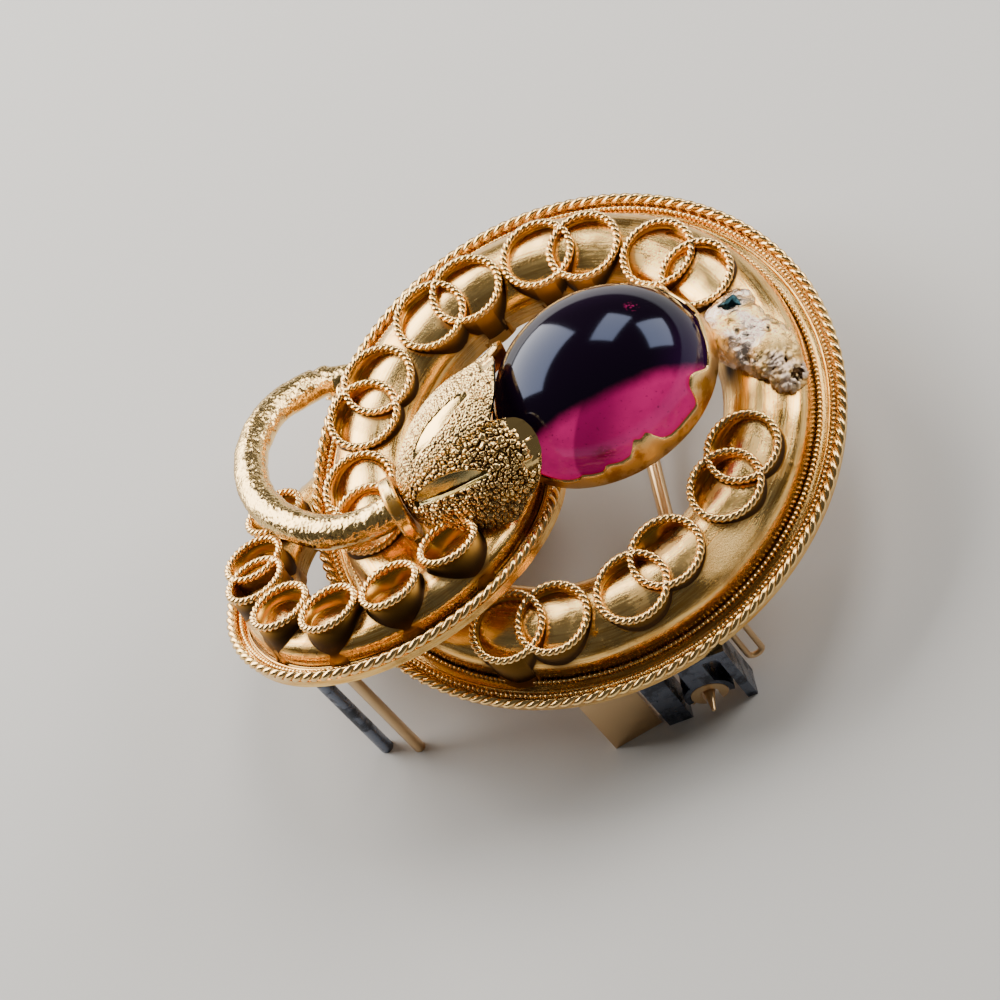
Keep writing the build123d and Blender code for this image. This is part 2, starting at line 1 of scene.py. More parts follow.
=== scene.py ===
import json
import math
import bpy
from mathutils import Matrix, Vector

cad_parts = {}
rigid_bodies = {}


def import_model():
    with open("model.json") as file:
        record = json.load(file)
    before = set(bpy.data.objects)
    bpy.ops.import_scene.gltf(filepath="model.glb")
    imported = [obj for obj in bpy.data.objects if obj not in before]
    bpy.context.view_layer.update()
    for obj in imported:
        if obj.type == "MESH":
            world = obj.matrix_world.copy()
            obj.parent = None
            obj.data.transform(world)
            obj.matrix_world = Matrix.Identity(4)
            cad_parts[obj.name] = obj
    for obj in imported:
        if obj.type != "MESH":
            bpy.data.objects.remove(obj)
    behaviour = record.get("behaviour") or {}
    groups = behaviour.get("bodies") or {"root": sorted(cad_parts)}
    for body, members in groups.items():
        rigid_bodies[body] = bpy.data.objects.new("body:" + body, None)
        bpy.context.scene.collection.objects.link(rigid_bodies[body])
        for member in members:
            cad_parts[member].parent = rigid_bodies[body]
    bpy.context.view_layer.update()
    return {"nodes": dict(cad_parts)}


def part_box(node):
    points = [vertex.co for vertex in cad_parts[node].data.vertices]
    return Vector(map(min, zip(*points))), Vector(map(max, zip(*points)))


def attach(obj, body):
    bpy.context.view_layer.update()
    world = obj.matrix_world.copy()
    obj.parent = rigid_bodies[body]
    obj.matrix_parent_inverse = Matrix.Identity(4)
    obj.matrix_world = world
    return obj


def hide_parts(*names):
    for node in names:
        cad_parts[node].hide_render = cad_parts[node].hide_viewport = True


bl_info = {
    "name": "Garnet Knot Brooch",
    "version": (1, 0, 0),
    "blender": (4, 5, 0),
    "location": "View3D > Sidebar > Brooch",
    "description": "Dresses a gold knot brooch: wirework, calyx, garnet, finishes and stage",
    "category": "Object",
}

import bpy
import numpy as np
from mathutils import Matrix, Vector, noise

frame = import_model()

MM = 0.001
FULL_TURN = 2 * math.pi

# The struck grain wanders by vector noise, which is the same each run only from a set seed
GRAIN_SEED = 11
noise.seed_set(GRAIN_SEED)

# Rings: radii of the rim and of the crown, half width of the tube, height of the crown, the sheet's
# thickness, height of its inner edge, height over the crown and radius of the wire circles, and
# steps round the ring
LARGE = {
    "radius": 15.1, "centre": 11.0, "tube": 2.37, "crown": 3.1, "wall": 0.45, "lip": 0.45,
    "lift": 0.26, "circle": 1.914, "segments": 840,
}
SMALL = {
    "radius": 10.3, "centre": 7.35, "tube": 1.7, "crown": 2.2, "wall": 0.4, "lip": 0.34,
    "lift": 0.74, "circle": 1.573, "segments": 600,
}

# How far a dome arches up as a share of its half width, points along the inside of its section,
# thickness of the border, and how far the rope hangs over the border's edge
DOME_ARCH = 0.675
INNER_POINTS = 15
BORDER_THICKNESS = 0.4
ROPE_OVERHANG = 0.25

# Rope, beads, plain line and circles: half widths of the wires, how far in from the rim they lie,
# and height of their middles
ROPE_WIRE = 0.3
ROPE_LEVEL = 0.73
BEAD_WIRE = 0.13
BEAD_INSET = 0.79
BEAD_LEVEL = 0.56
LINE_WIRE = 0.1
LINE_INSET = 1.08
CIRCLE_WIRE = 0.225

# Unevenness of the rings' sheet, half width of the painted shade along a wire circle and how fast
# it fades
HAND_WORK = 0.04
COLLAR_HALF = 0.1
COLLAR_FADE = 0.14

# Twisted wire, in shares of its half width: how far each strand lies from the middle, half width
# of a strand, and where the painted shade in the furrow between the strands starts and how fast it
# fades out
STRAND_ARM = 0.4
STRAND_HALF = 0.6
GROOVE_FLOOR = 0.55
GROOVE_RISE = 0.4

# Beads, in shares of the wire: half width of the necks, how far the beads swell, and their fullness
BEAD_NECK = 0.55
BEAD_SWELL = 0.5
BEAD_FULLNESS = 0.7

# Strip under a wire circle: thickness, unevenness, and how far its top lies under the wire's middle
STRIP_WALL = 0.14
STRIP_WAVE = 0.02
STRIP_DROP = 0.06

# Section of that strip round from its outer foot: side, spread of the solder fillet, height over
# the crown, or None at the top, and its painted shade, darkest outside as the shadow under the wire
STRIP_SECTION = (
    (1, 0.17, -0.04, 0.6), (1, 0.07, 0.03, 1.0), (1, 0.015, 0.14, 1.0), (1, 0.0, None, 0.85),
    (-1, 0.0, None, 0.3), (-1, 0.015, 0.14, 0.55), (-1, 0.07, 0.03, 0.5), (-1, 0.17, -0.04, 0.15),
)

# Wire circles of each piece: angle round the ring and share of the crown's radius
LARGE_CIRCLES = {
    1: ((20.5, 0.98), (35.0, 0.975)),
    2: ((58.7, 0.957), (73.2, 0.957)),
    3: ((96.7, 0.957), (109.5, 0.98)),
    4: ((132.8, 1.02), (143.5, 1.03)),
    5: ((165.3, 1.025), (176.0, 1.02)),
    6: ((-126.5, 1.06), (-114.2, 1.025)),
    7: ((-91.2, 1.005), (-78.3, 0.95)),
    8: ((-53.1, 0.97), (-41.2, 0.975)),
}
SMALL_CIRCLES = {
    1: ((137.0, 1.0),),
    2: ((166.0, 1.0), (181.0, 1.0)),
    3: ((210.0, 1.0),),
    4: ((238.7, 1.0),),
    5: ((267.4, 1.0),),
    6: ((297.0, 1.0),),
}

# Marks of old damage on the large ring: angle, distance from its axis, half size along and across,
# and how far each stands up
LARGE_LUMPS = (
    (-103.0, 12.5, 0.32, 0.26, 0.16), (-101.4, 12.75, 0.2, 0.2, 0.1),
    (-99.0, 12.4, 0.16, 0.14, 0.05), (-96.0, 12.7, 0.14, 0.14, 0.05), (-41.5, 13.2, 0.1, 0.1, 0.05),
)
LARGE_FILED = (-67.0, 12.5, 1.9, 0.75)
# Painted shadow of the hole between the bezel's end and the ring's inner edge: angle, distance,
# half sizes
LARGE_HOLE_SHADE = (-13.0, 9.5, 1.7, 0.75)

# Calyx: its axis, its profile and its sheet, and heights of the fine grain and of what the coarse
# grain adds up to an angle round the axis
CALYX_START = -8.75
CALYX_LENGTH = 8.35
CALYX_NECK = 1.0
CALYX_RADIUS = 4.4
AXIS_Y = -0.5
AXIS_HEIGHT = 4.75
CALYX_SHEET = 0.24
FINE_RELIEF = 0.1
COARSE_RELIEF = 0.12
COARSE_END = 71.0

# Sepals that bend outward: angle of the middle, half width in degrees, how far, and the start and
# length of the bend along the axis
CALYX_FLARES = (
    (160.0, 14.0, 0.75, -3.2, 3.0), (122.0, 12.0, 0.16, -2.2, 1.4), (52.0, 16.0, 0.12, -1.8, 1.2),
)

# Free edge of the calyx: angle round its axis from the near side, and place along the axis
CALYX_EDGE = (
    (-27.0, -7.9), (-19.0, -6.3), (-10.0, -5.4), (-1.0, -4.6), (3.0, -3.5), (11.0, -2.85),
    (15.0, -2.5), (19.0, -1.9), (25.0, -1.45), (31.0, -1.15), (41.0, -0.72), (50.0, -0.55),
    (57.0, -0.57), (64.0, -0.75), (69.0, -1.1), (72.5, -1.7), (74.5, -2.3), (76.0, -2.35),
    (78.0, -2.2), (85.0, -1.8), (94.0, -1.4), (106.0, -1.1), (118.0, -0.86), (126.0, -0.8),
    (135.0, -0.95), (141.0, -1.3), (146.0, -1.75), (150.0, -1.2), (156.0, -0.6), (163.0, -0.35),
    (170.0, -0.45), (177.0, -1.2), (184.0, -2.5), (190.0, -4.0), (196.0, -5.0), (203.0, -6.5),
    (207.0, -7.9),
)

# Struck grain, in shares of its size: how far the lumps wander, the gap between them, and the lean,
# width and depth of their dimples
GRAIN_WANDER = 0.35
GRAIN_GAP = 0.42
DIMPLE_LEAN = 0.24
DIMPLE_WIDTH = 0.2
DIMPLE_DEPTH = 0.75

# Polished cuts in the calyx: start, middle and end of the deep line as angle and place, width of
# the sloping face, depth, and whether it is tarnished
CALYX_CUTS = (
    ((90.5, -6.9), (93.0, -4.9), (102.5, -2.7), 0.85, 0.2, 0.0),
    ((46.0, -8.1), (45.0, -5.8), (45.0, -3.7), 0.95, 0.3, 1.0),
)
CUT_WALL = 0.16

# Polished flats at the sepals' tips: angle and place of the middle, half width in degrees, half
# length, and how far each face leans
CALYX_TIPS = (
    (45.0, -0.9, 8.0, 0.55, -1.0), (57.0, -0.85, 7.0, 0.75, 0.4), (66.0, -1.25, 6.0, 0.6, 1.0),
    (36.0, -1.5, 5.0, 0.5, -1.4), (122.0, -1.2, 7.0, 0.5, 0.5), (134.0, -1.3, 6.0, 0.45, -0.8),
)
TIP_DEPTH = 0.05

# Middle of the view, from the large ring's centre
VIEW_TARGET = np.array([-4.806, -0.763, 0.94])

# Twig: height of its grain, how far the skin under the grain is sunk, and height of its lumps
STEM_RELIEF = 0.05
STEM_SINK = 0.02
STEM_LUMPS = 0.05

# Solder repair: heights of its waves and crumbs, and depth of its pits
SOLDER_WAVES = 0.16
CRUMB_HEIGHT = 0.2
PIT_DEPTH = 0.25

# Crumbly end of the solder repair and the dark shard in it, from the large ring's centre
CRUMBS = np.array([12.1, -4.5, 3.4])
CRUMBS_SIZE = (1.6, 1.5, 1.6)
SHARD_PLACE = np.array([10.95, 0.5, 4.05])
SHARD_SIZE = (0.7, 0.42, 0.35)

# Garnet from the large ring's centre: middle, height of its base, height of its straight edge, and
# half length, half width and height of its dome
STONE_MIDDLE = (3.28, -0.4)
STONE_BASE = 4.44
STONE_GIRDLE = 0.55
STONE_HALF = (5.9, 5.05, 4.6)

# Bezel: height of its floor, gap to the stone, and section of its wall up the outside and down the
# inside, as distance out from that gap and share of the rim's height
BEZEL_FLOOR = 4.1
BEZEL_PLAY = 0.04
BEZEL_SECTION = (
    (0.25, 0.0), (0.28, 0.05), (0.27, 0.3), (0.25, 0.55), (0.225, 0.75), (0.2, 0.88), (0.155, 0.96),
    (0.1125, 1.0), (0.05, 0.99), (0.04, 0.94), (0.0, 0.8), (0.0, 0.3),
)

# Ragged rim of the bezel: angle round the stone and height over the bezel's floor
BEZEL_RIM = (
    (-180.0, 1.5), (-150.0, 1.0), (-139.0, 0.85), (-128.0, 0.8), (-123.0, 0.85), (-120.0, 1.1),
    (-116.0, 1.02), (-109.0, 1.08), (-107.0, 1.4), (-105.0, 1.54), (-98.0, 1.4), (-93.0, 1.45),
    (-91.0, 1.7), (-87.0, 2.3), (-84.0, 2.08), (-79.5, 2.3), (-77.0, 1.66), (-75.0, 1.2),
    (-71.0, 0.98), (-60.0, 0.93), (-50.5, 0.9), (-49.0, 1.35), (-46.0, 2.1), (-41.0, 2.2),
    (-37.0, 1.95), (-32.0, 1.3), (-29.0, 1.05), (-20.0, 1.35), (-8.0, 1.5), (4.0, 1.6), (6.0, 1.0),
    (10.0, 0.95), (12.0, 1.75), (20.0, 1.6), (35.0, 1.6), (57.0, 1.7), (77.0, 1.8), (99.0, 1.85),
    (116.0, 1.8), (130.0, 1.8), (150.0, 1.6), (180.0, 1.5),
)

# How fast a patch of stain or tarnish fades at its edge
PATCH_EDGE = 0.16


def node_box(name):
    """Lowest and highest corner of a CAD node, in millimetres."""
    low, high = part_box(name)
    return np.array(low) / MM, np.array(high) / MM


def ring_places():
    """Centre of the large ring, and centre and turn of the small one, from their border ropes."""
    low, high = node_box("large_ring_rope")
    level = np.array([0, 0, ROPE_LEVEL])
    large = (low + high) / 2 - level
    low, high = node_box("small_ring_rope")
    reach = SMALL["radius"] - ROPE_WIRE
    tilt = math.asin(((high[2] - low[2]) / 2 - ROPE_WIRE) / reach)
    cosine, sine = math.cos(-tilt), math.sin(-tilt)
    turn = np.array([[1, 0, 0], [0, cosine, -sine], [0, sine, cosine]])
    return large, (low + high) / 2 - turn @ level, turn


LARGE_PLACE, SMALL_PLACE, SMALL_TURN = ring_places()
RINGS = (
    ("large_ring", LARGE, LARGE_CIRCLES, LARGE_PLACE, np.identity(3)),
    ("small_ring", SMALL, SMALL_CIRCLES, SMALL_PLACE, SMALL_TURN),
)


def add_mesh(name, points, faces, attributes=None, smooth=True, sharp=None):
    """A mesh object from points in millimetres, with a number stored on each point by name."""
    mesh = bpy.data.meshes.new(name)
    mesh.from_pydata((np.asarray(points) * MM).tolist(), [], [list(face) for face in faces])
    mesh.validate()
    for key, values in (attributes or {}).items():
        values = np.asarray(values, dtype=float)
        kind, field = ("FLOAT_VECTOR", "vector") if values.ndim == 2 else ("FLOAT", "value")
        mesh.attributes.new(key, kind, "POINT").data.foreach_set(field, values.ravel())
    if smooth:
        mesh.shade_smooth()
    if sharp is not None:
        mesh.set_sharp_from_angle(angle=math.radians(sharp))
    piece = bpy.data.objects.new(name, mesh)
    bpy.context.scene.collection.objects.link(piece)
    return piece


def dress(piece, finish, slot, *nodes, body="brooch"):
    """Gives a piece its finish and its body, and hides the CAD nodes it stands for."""
    piece.data.materials.clear()
    piece.data.materials.append(finishes()[finish])
    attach(piece, body)
    if nodes:
        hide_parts(*nodes)
    return piece


def grid_faces(rows, columns, wrap_rows=False, wrap_columns=False):
    """Quads of a grid of points, closed round its rows or columns if asked."""
    row = np.arange(rows if wrap_rows else rows - 1)
    column = np.arange(columns if wrap_columns else columns - 1)
    row, column = np.meshgrid(row, column, indexing="ij")
    next_row = (row + 1) % rows
    next_column = (column + 1) % columns
    corners = [row * columns + column, row * columns + next_column]
    corners += [next_row * columns + next_column, next_row * columns + column]
    return np.stack(corners, axis=-1).reshape(-1, 4)


def capped_faces(rows, columns, top=True):
    """Faces of rings stacked up, closed by a flat face below and, if asked, one above."""
    faces = [tuple(face) for face in grid_faces(rows, columns, wrap_columns=True)]
    faces.append(tuple(range(columns))[::-1])
    if top:
        faces.append(tuple(range((rows - 1) * columns, rows * columns)))
    return faces


def joined(parts):
    """Several (points, faces, values) parts as one."""
    starts = np.cumsum([0] + [len(part[0]) for part in parts])
    faces = [part[1] + start for part, start in zip(parts, starts)]
    points = [part[0] for part in parts]
    values = [part[2] for part in parts]
    return np.concatenate(points), np.concatenate(faces), np.concatenate(values)


def unit(vectors):
    """Vectors brought to length one."""
    return vectors / np.linalg.norm(vectors, axis=-1, keepdims=True)


def round_circle(count):
    """Angles of evenly spaced points round a circle."""
    return np.arange(count) * FULL_TURN / count


def sampled(points, function):
    """What a function gives at each point."""
    return np.array([function(Vector(point)) for point in points])


def soft_line(values, mode):
    """Values along a line, each the mean of itself and its four neighbours."""
    return np.convolve(np.pad(values, 2, mode=mode), np.ones(5) / 5, mode="valid")


def twisted_ring(radius, wire, pitch, sides, steps):
    """Two strands twisted round each other along a circle, with painted shade where points lie
    hidden.
    """
    turns = round(FULL_TURN * radius / pitch)
    along = round_circle(turns * steps)
    outward = np.stack([np.cos(along), np.sin(along), 0 * along], axis=1)
    upward = np.array([0.0, 0.0, 1.0])
    section = round_circle(sides)
    cosine, sine = np.cos(section)[None, :, None], np.sin(section)[None, :, None]
    parts = []
    for start in (0, math.pi):
        phase = (turns * along + start)[:, None]
        arm = np.cos(phase) * outward + np.sin(phase) * upward
        line = radius * outward + STRAND_ARM * wire * arm
        tangent = unit(np.roll(line, -1, axis=0) - np.roll(line, 1, axis=0))
        side = unit(np.cross(tangent, arm))
        arm = np.cross(side, tangent)
        ring = cosine * arm[:, None] + sine * side[:, None]
        points = (line[:, None] + STRAND_HALF * wire * ring).reshape(-1, 3)
        axis = np.repeat(radius * outward, sides, axis=0)
        reach = np.linalg.norm(points - axis, axis=1) / wire
        crease_shade = 1 - np.clip((reach - GROOVE_FLOOR) / GROOVE_RISE, 0, 1)
        parts.append((points, grid_faces(len(along), sides, True, True), crease_shade))
    return joined(parts)


def beaded_ring(radius, pitch, sides=6, steps=6):
    """A wire pressed into beads along a circle, with painted shade by how near each point is to a
    neck.
    """
    beads = round(FULL_TURN * radius / pitch)
    along = round_circle(beads * steps)
    swell = np.abs(np.sin(beads * along / 2)) ** BEAD_FULLNESS
    thick = (BEAD_WIRE * (BEAD_NECK + BEAD_SWELL * swell))[:, None]
    section = round_circle(sides)
    across = radius + thick * np.cos(section)
    x, y = across * np.cos(along)[:, None], across * np.sin(along)[:, None]
    points = np.stack([x, y, thick * np.sin(section)], axis=-1).reshape(-1, 3)
    return points, grid_faces(len(along), sides, True, True), np.repeat(1 - swell, sides)


def shoulder_height(ring):
    """Height at which a ring's dome starts to arch."""
    return ring["crown"] - DOME_ARCH * ring["tube"]


def crown_height(ring, reach):
    """Height of a ring's outer skin at a distance from its axis."""
    off = np.abs(reach - ring["centre"]) / ring["tube"]
    arc = DOME_ARCH * ring["tube"] * np.sqrt(np.clip(1 - off ** 2, 0, None))
    return np.where(off < 1, shoulder_height(ring) + arc, BORDER_THICKNESS)


def flat_place(reach, angle):
    """A point in a ring's plane at a distance and an angle in degrees."""
    turn = math.radians(angle)
    return np.array([reach * math.cos(turn), reach * math.sin(turn), 0.0])


def strip_band(ring, centre, top, columns=80):
    """A strip on edge round a circle, from a fillet of solder on the crown up to the wire, with
    painted shade.
    """
    along = round_circle(columns)
    rows = []
    for side, spread, lift, dark in STRIP_SECTION:
        uneven = STRIP_WAVE * np.sin(5 * along + centre[0])
        reach = ring["circle"] + side * (STRIP_WALL / 2 + spread) + uneven
        x = centre[0] + reach * np.cos(along)
        y = centre[1] + reach * np.sin(along)
        z = np.full(columns, top)
        if lift is not None:
            z = np.minimum(crown_height(ring, np.hypot(x, y)) + lift, top - 0.02)
        rows.append(np.stack([x, y, z], axis=1))
    crease_shade = np.repeat([dark for side, spread, lift, dark in STRIP_SECTION], columns)
    return np.concatenate(rows), grid_faces(len(rows), columns, True, True), crease_shade


def circle_piece(name, ring, places, pitch, place, turn):
    """The wire circles of one soldered piece, with their strips."""
    level = ring["crown"] + ring["lift"]
    parts, strip = [], []
    for angle, share in places:
        centre = flat_place(share * ring["centre"], angle)
        points, faces, crease_shade = twisted_ring(ring["circle"], CIRCLE_WIRE, pitch, sides=7, steps=12)
        parts.append((points + centre + np.array([0, 0, level]), faces, crease_shade))
        parts.append(strip_band(ring, centre, level - STRIP_DROP))
        strip += [np.zeros(len(points)), np.ones(len(parts[-1][0]))]
    points, faces, crease_shade = joined(parts)
    attributes = {"crease_shade": crease_shade, "strip": np.concatenate(strip)}
    return add_mesh(name, points @ turn.T + place, faces, attributes)


def arch_points(centre, half, base, height, start, stop, count):
    """Points of half an ellipse in a profile, angles in degrees."""
    turn = np.radians(np.linspace(start, stop, count))
    return [(centre + half * math.cos(a), base + height * math.sin(a)) for a in turn]


def ring_profile(ring):
    """Closed section of a ring's sheet: border, half tube outside and inside."""
    shoulder = shoulder_height(ring)
    arch = DOME_ARCH * ring["tube"]
    centre, tube, wall = ring["centre"], ring["tube"], ring["wall"]
    border = BORDER_THICKNESS
    edge = ring["radius"] - ROPE_OVERHANG
    line = ring["radius"] - LINE_INSET
    foot = centre + tube
    profile = [(foot - wall, 0.0), (edge, 0.0), (edge, border), (edge - 0.3, border)]
    profile += [(line + 1.2 * LINE_WIRE, border)]
    profile += arch_points(line, LINE_WIRE, border, LINE_WIRE, 0, 180, 9)
    profile += [(line - 1.2 * LINE_WIRE, border), (foot + 0.05, border), (foot, border + 0.04)]
    profile += [(foot, border + share * (shoulder - border)) for share in (0.3, 0.65)]
    profile += arch_points(centre, tube, shoulder, arch, 0, 180, 61)
    profile += [(centre - tube, ring["lip"]), (centre - tube + wall, ring["lip"])]
    profile += arch_points(centre, tube - wall, shoulder, arch - wall, 180, 0, INNER_POINTS)
    return np.array(profile)


def spot(flat, angle, reach, along, across):
    """How near each point is to a marked place on a ring, 1 at its middle."""
    centre = flat_place(reach, angle)
    outward = centre / reach
    sideways = np.array([-outward[1], outward[0], 0])
    off = flat - centre
    return np.exp(-((off @ sideways) / along) ** 2 - ((off @ outward) / across) ** 2)


def ring_piece(name, ring, circles, place, turn, lumps=(), filed=None, hole_shade_mark=None):
    """A ring's sheet, slightly uneven as hand work is, with painted shade round its circles."""
    profile = ring_profile(ring)
    segments = ring["segments"]
    along = round_circle(segments)
    reach = profile[:, 0][None, :]
    x = reach * np.cos(along)[:, None]
    y = reach * np.sin(along)[:, None]
    z = np.repeat(profile[:, 1][None, :], segments, axis=0)
    local = np.stack([x, y, z], axis=-1).reshape(-1, 3)
    flat = local * (1, 1, 0)
    height = local[:, 2]
    shoulder = shoulder_height(ring)
    outer = np.ones((segments, len(profile)))
    outer[:, -INNER_POINTS:] = 0.0
    upper = (height > shoulder - 0.4) * outer.ravel()
    # The collar mask is painted shade: a dark halo round each wire circle
    collar = np.zeros(len(local))
    inside = np.zeros(len(local))
    for angle, share in [pair for places in circles.values() for pair in places]:
        centre = flat_place(share * ring["centre"], angle)
        gap = np.hypot(*(local - centre)[:, :2].T) - ring["circle"]
        beyond = np.clip(np.abs(gap) - COLLAR_HALF, 0, None)
        collar = np.maximum(collar, np.exp(-beyond / COLLAR_FADE))
        inside = np.maximum(inside, np.clip((-gap - 0.05) / 0.3, 0, 1))
    offset = np.linalg.norm(flat, axis=1) - ring["centre"]
    foot = np.exp(-np.abs(offset - ring["tube"] - 0.06) / 0.09) * (height < shoulder)
    rise = np.clip((height - shoulder) / DOME_ARCH ** 2, 0, None)
    normal = unit(unit(flat) * offset[:, None] + np.array([0, 0, 1.0]) * rise[:, None] + 1e-6)
    waves = sampled(local, lambda point: noise.noise(point * 0.35) + 0.5 * noise.noise(point * 0.9))
    lift = HAND_WORK * waves * upper
    if lumps:
        rough = sampled(local, lambda point: 0.8 + 0.5 * noise.noise(point * 7))
    for angle, middle, long, wide, high in lumps:
        lift += high * rough * upper * spot(flat, angle, middle, long, wide)
    marks = [spot(flat, *mark) * upper if mark else 0 * upper for mark in (filed, hole_shade_mark)]
    points = (local + normal * lift[:, None]) @ turn.T + place
    attributes = {
        "place": local, "collar": collar * upper, "inside": inside * upper, "foot": foot,
        "filed": marks[0], "hole_shade": marks[1],
    }
    faces = grid_faces(segments, len(profile), True, True)
    return add_mesh(name, points, faces, attributes, sharp=40)


def calyx_reach(x):
    """Radius of the calyx's cup at a place along its axis."""
    first = (CALYX_START, CALYX_NECK)
    swell = (CALYX_START + 0.25 * CALYX_LENGTH, 0.73 * CALYX_RADIUS)
    full = (CALYX_START + 0.66 * CALYX_LENGTH, CALYX_RADIUS)
    system = 2 * np.array([np.subtract(swell, first), np.subtract(full, first)])
    squares = [np.dot(place, place) - np.dot(first, first) for place in (swell, full)]
    centre = np.linalg.solve(system, squares)
    radius = math.dist(centre, first)
    arc = centre[1] + np.sqrt(np.clip(radius ** 2 - (x - centre[0]) ** 2, 0, None))
    return np.where(x < full[0], arc, CALYX_RADIUS)


def calyx_skin(x, angle, reach):
    """Points round the calyx's axis, angles in degrees, and the way out at each."""
    turn = np.radians(angle)
    out = np.stack([0 * x, -np.cos(turn), np.sin(turn)], axis=-1)
    return np.stack([x, 0 * x, 0 * x], axis=-1) + reach[..., None] * out, out


def calyx_cut(angle, x, cut):
    """Depth of a polished cut at each place, and whether the place is in its face."""
    start, middle, end, width, depth, tarnish = cut
    share = np.clip((x - start[1]) / (end[1] - start[1]), 0, 1)
    bend = np.interp(share, [0, 0.5, 1], [start[0], middle[0], end[0]])
    swell = np.sin(np.pi * share) ** 0.6
    off = np.radians(angle - bend) * calyx_reach(x)
    slope = np.where(off >= 0, 1 - off / (width * swell + 1e-6), 1 + off / CUT_WALL)
    inside = (slope > 0) & (share > 0) & (share < 1)
    return np.where(inside, slope, 0) * depth * np.sqrt(swell), inside * (swell > 0.05)


def crescents(point, size):
    """Height share of struck grain: round lumps a size apart, each with a dimple off its middle."""
    place = point / size + noise.noise_vector(point * 1.3) * GRAIN_WANDER
    gaps, centres = noise.voronoi(place)
    edge = min(1.0, (gaps[1] - gaps[0]) / GRAIN_GAP)
    lump = 1 - (1 - edge) ** 2
    lean = noise.noise_vector(centres[0] * 3.1).normalized() * DIMPLE_LEAN
    dimple = math.exp(-((place - centres[0] - lean).length / DIMPLE_WIDTH) ** 2)
    return max(0.0, lump - DIMPLE_DEPTH * dimple * edge)


def calyx_piece(sizes):
    """Cup of thin sheet cut into sepals, stamped with struck grain, polished cuts and tips."""
    columns, rows, inner_rows = 440, 176, 12
    edge = np.array(CALYX_EDGE)
    angle = np.linspace(edge[0, 0], edge[-1, 0], columns)
    end = soft_line(np.interp(angle, edge[:, 0], edge[:, 1]), "edge")
    share = np.linspace(0, 1, rows)[:, None]
    x = CALYX_START + share * (end - CALYX_START)[None, :]
    turn = np.repeat(angle[None, :], rows, axis=0)
    to_edge = end[None, :] - x
    flare = np.zeros_like(x)
    for middle, half, far, start, run in CALYX_FLARES:
        bend = np.clip((x - start) / run, 0, 1) ** 2
        flare += far * np.exp(-((turn - middle) / half) ** 2) * bend
    cuts, polish, tarnish = np.zeros((3, rows, columns))
    for cut in CALYX_CUTS:
        depth, inside = calyx_cut(turn, x, cut)
        cuts = np.maximum(cuts, depth)
        polish = np.maximum(polish, inside)
        tarnish = np.maximum(tarnish, inside * cut[5])
    for middle, tip, half, long, lean in CALYX_TIPS:
        off = np.maximum(np.abs(turn - middle) / half, np.abs(x - tip) / long)
        face = np.clip(3 * (1 - off), 0, 1)
        cuts += TIP_DEPTH * face * (1 + lean * (turn - middle) / half)
        polish = np.maximum(polish, face)
    base, out = calyx_skin(x, turn, calyx_reach(x) + flare)
    coarse = 1 / (1 + np.exp((turn - COARSE_END) / 3))
    size = np.where(coarse > 0.5, sizes.coarse_grain / MM, sizes.fine_grain / MM).ravel().tolist()
    grain = [crescents(Vector(point), width) for point, width in zip(base.reshape(-1, 3), size)]
    fade = np.clip(to_edge / 0.12, 0, 1) * np.clip(share / 0.02, 0, 1) * (1 - polish)
    grain = np.reshape(grain, x.shape) * fade
    outer = base + out * ((FINE_RELIEF + COARSE_RELIEF * coarse) * grain - cuts)[..., None]
    back = np.linspace(1, 0, inner_rows)[:, None]
    back_x = CALYX_START + back * (end - CALYX_START)[None, :]
    back_flare = np.array([np.interp(back_x[:, c], x[:, c], flare[:, c]) for c in range(columns)]).T
    inner = calyx_skin(back_x, turn[:inner_rows], calyx_reach(back_x) + back_flare - CALYX_SHEET)[0]
    points = np.concatenate([outer.reshape(-1, 3), inner.reshape(-1, 3)])
    points += np.array([0, AXIS_Y, AXIS_HEIGHT]) + LARGE_PLACE
    rim = np.clip(1 - to_edge / 0.1, 0, 1)
    stored = {"relief": grain, "polish": polish, "tarnish": tarnish, "rim": rim}
    bare = np.zeros(inner_rows * columns)
    attributes = {key: np.concatenate([values.ravel(), bare]) for key, values in stored.items()}
    faces = grid_faces(rows + inner_rows, columns, wrap_rows=True)
    return add_mesh("calyx_sheet", points, faces, attributes, sharp=70)


def remeshed(node, voxel):
    """A CAD node's mesh rebuilt in even small faces: points in millimetres, normals and faces."""
    mesh = frame["nodes"][node].data.copy()
    mesh.transform(Matrix.Scale(1 / MM, 4))
    helper = bpy.data.objects.new("helper", mesh)
    bpy.context.scene.collection.objects.link(helper)
    modifier = helper.modifiers.new("even", "REMESH")
    modifier.mode = "VOXEL"
    modifier.voxel_size = voxel
    bpy.context.view_layer.update()
    graph = bpy.context.evaluated_depsgraph_get()
    even = bpy.data.meshes.new_from_object(helper.evaluated_get(graph))
    arrays = []
    for kind in ("co", "normal"):
        values = np.empty(3 * len(even.vertices))
        even.vertices.foreach_get(kind, values)
        arrays.append(values.reshape(-1, 3))
    faces = [tuple(face.vertices) for face in even.polygons]
    bpy.data.objects.remove(helper)
    bpy.data.meshes.remove(mesh)
    bpy.data.meshes.remove(even)
    return *arrays, faces


def stem_piece(sizes):
    """The twig, with a fine granular skin above and a smooth underside."""
    points, normals, faces = remeshed("stem", 0.08)
    upper = np.clip((normals[:, 2] + 0.1) / 0.3, 0, 1)
    grain = sampled(points, lambda point: crescents(point, sizes.fine_grain / MM))
    lumps = sampled(points, lambda point: noise.noise(point * 1.3))
    shift = (STEM_RELIEF * grain - STEM_SINK) * upper + STEM_LUMPS * lumps
    shape = points + normals * shift[:, None]
    return add_mesh("stem_skin", shape, faces, {"relief": 0.3 + 0.7 * grain, "polish": 1 - upper})


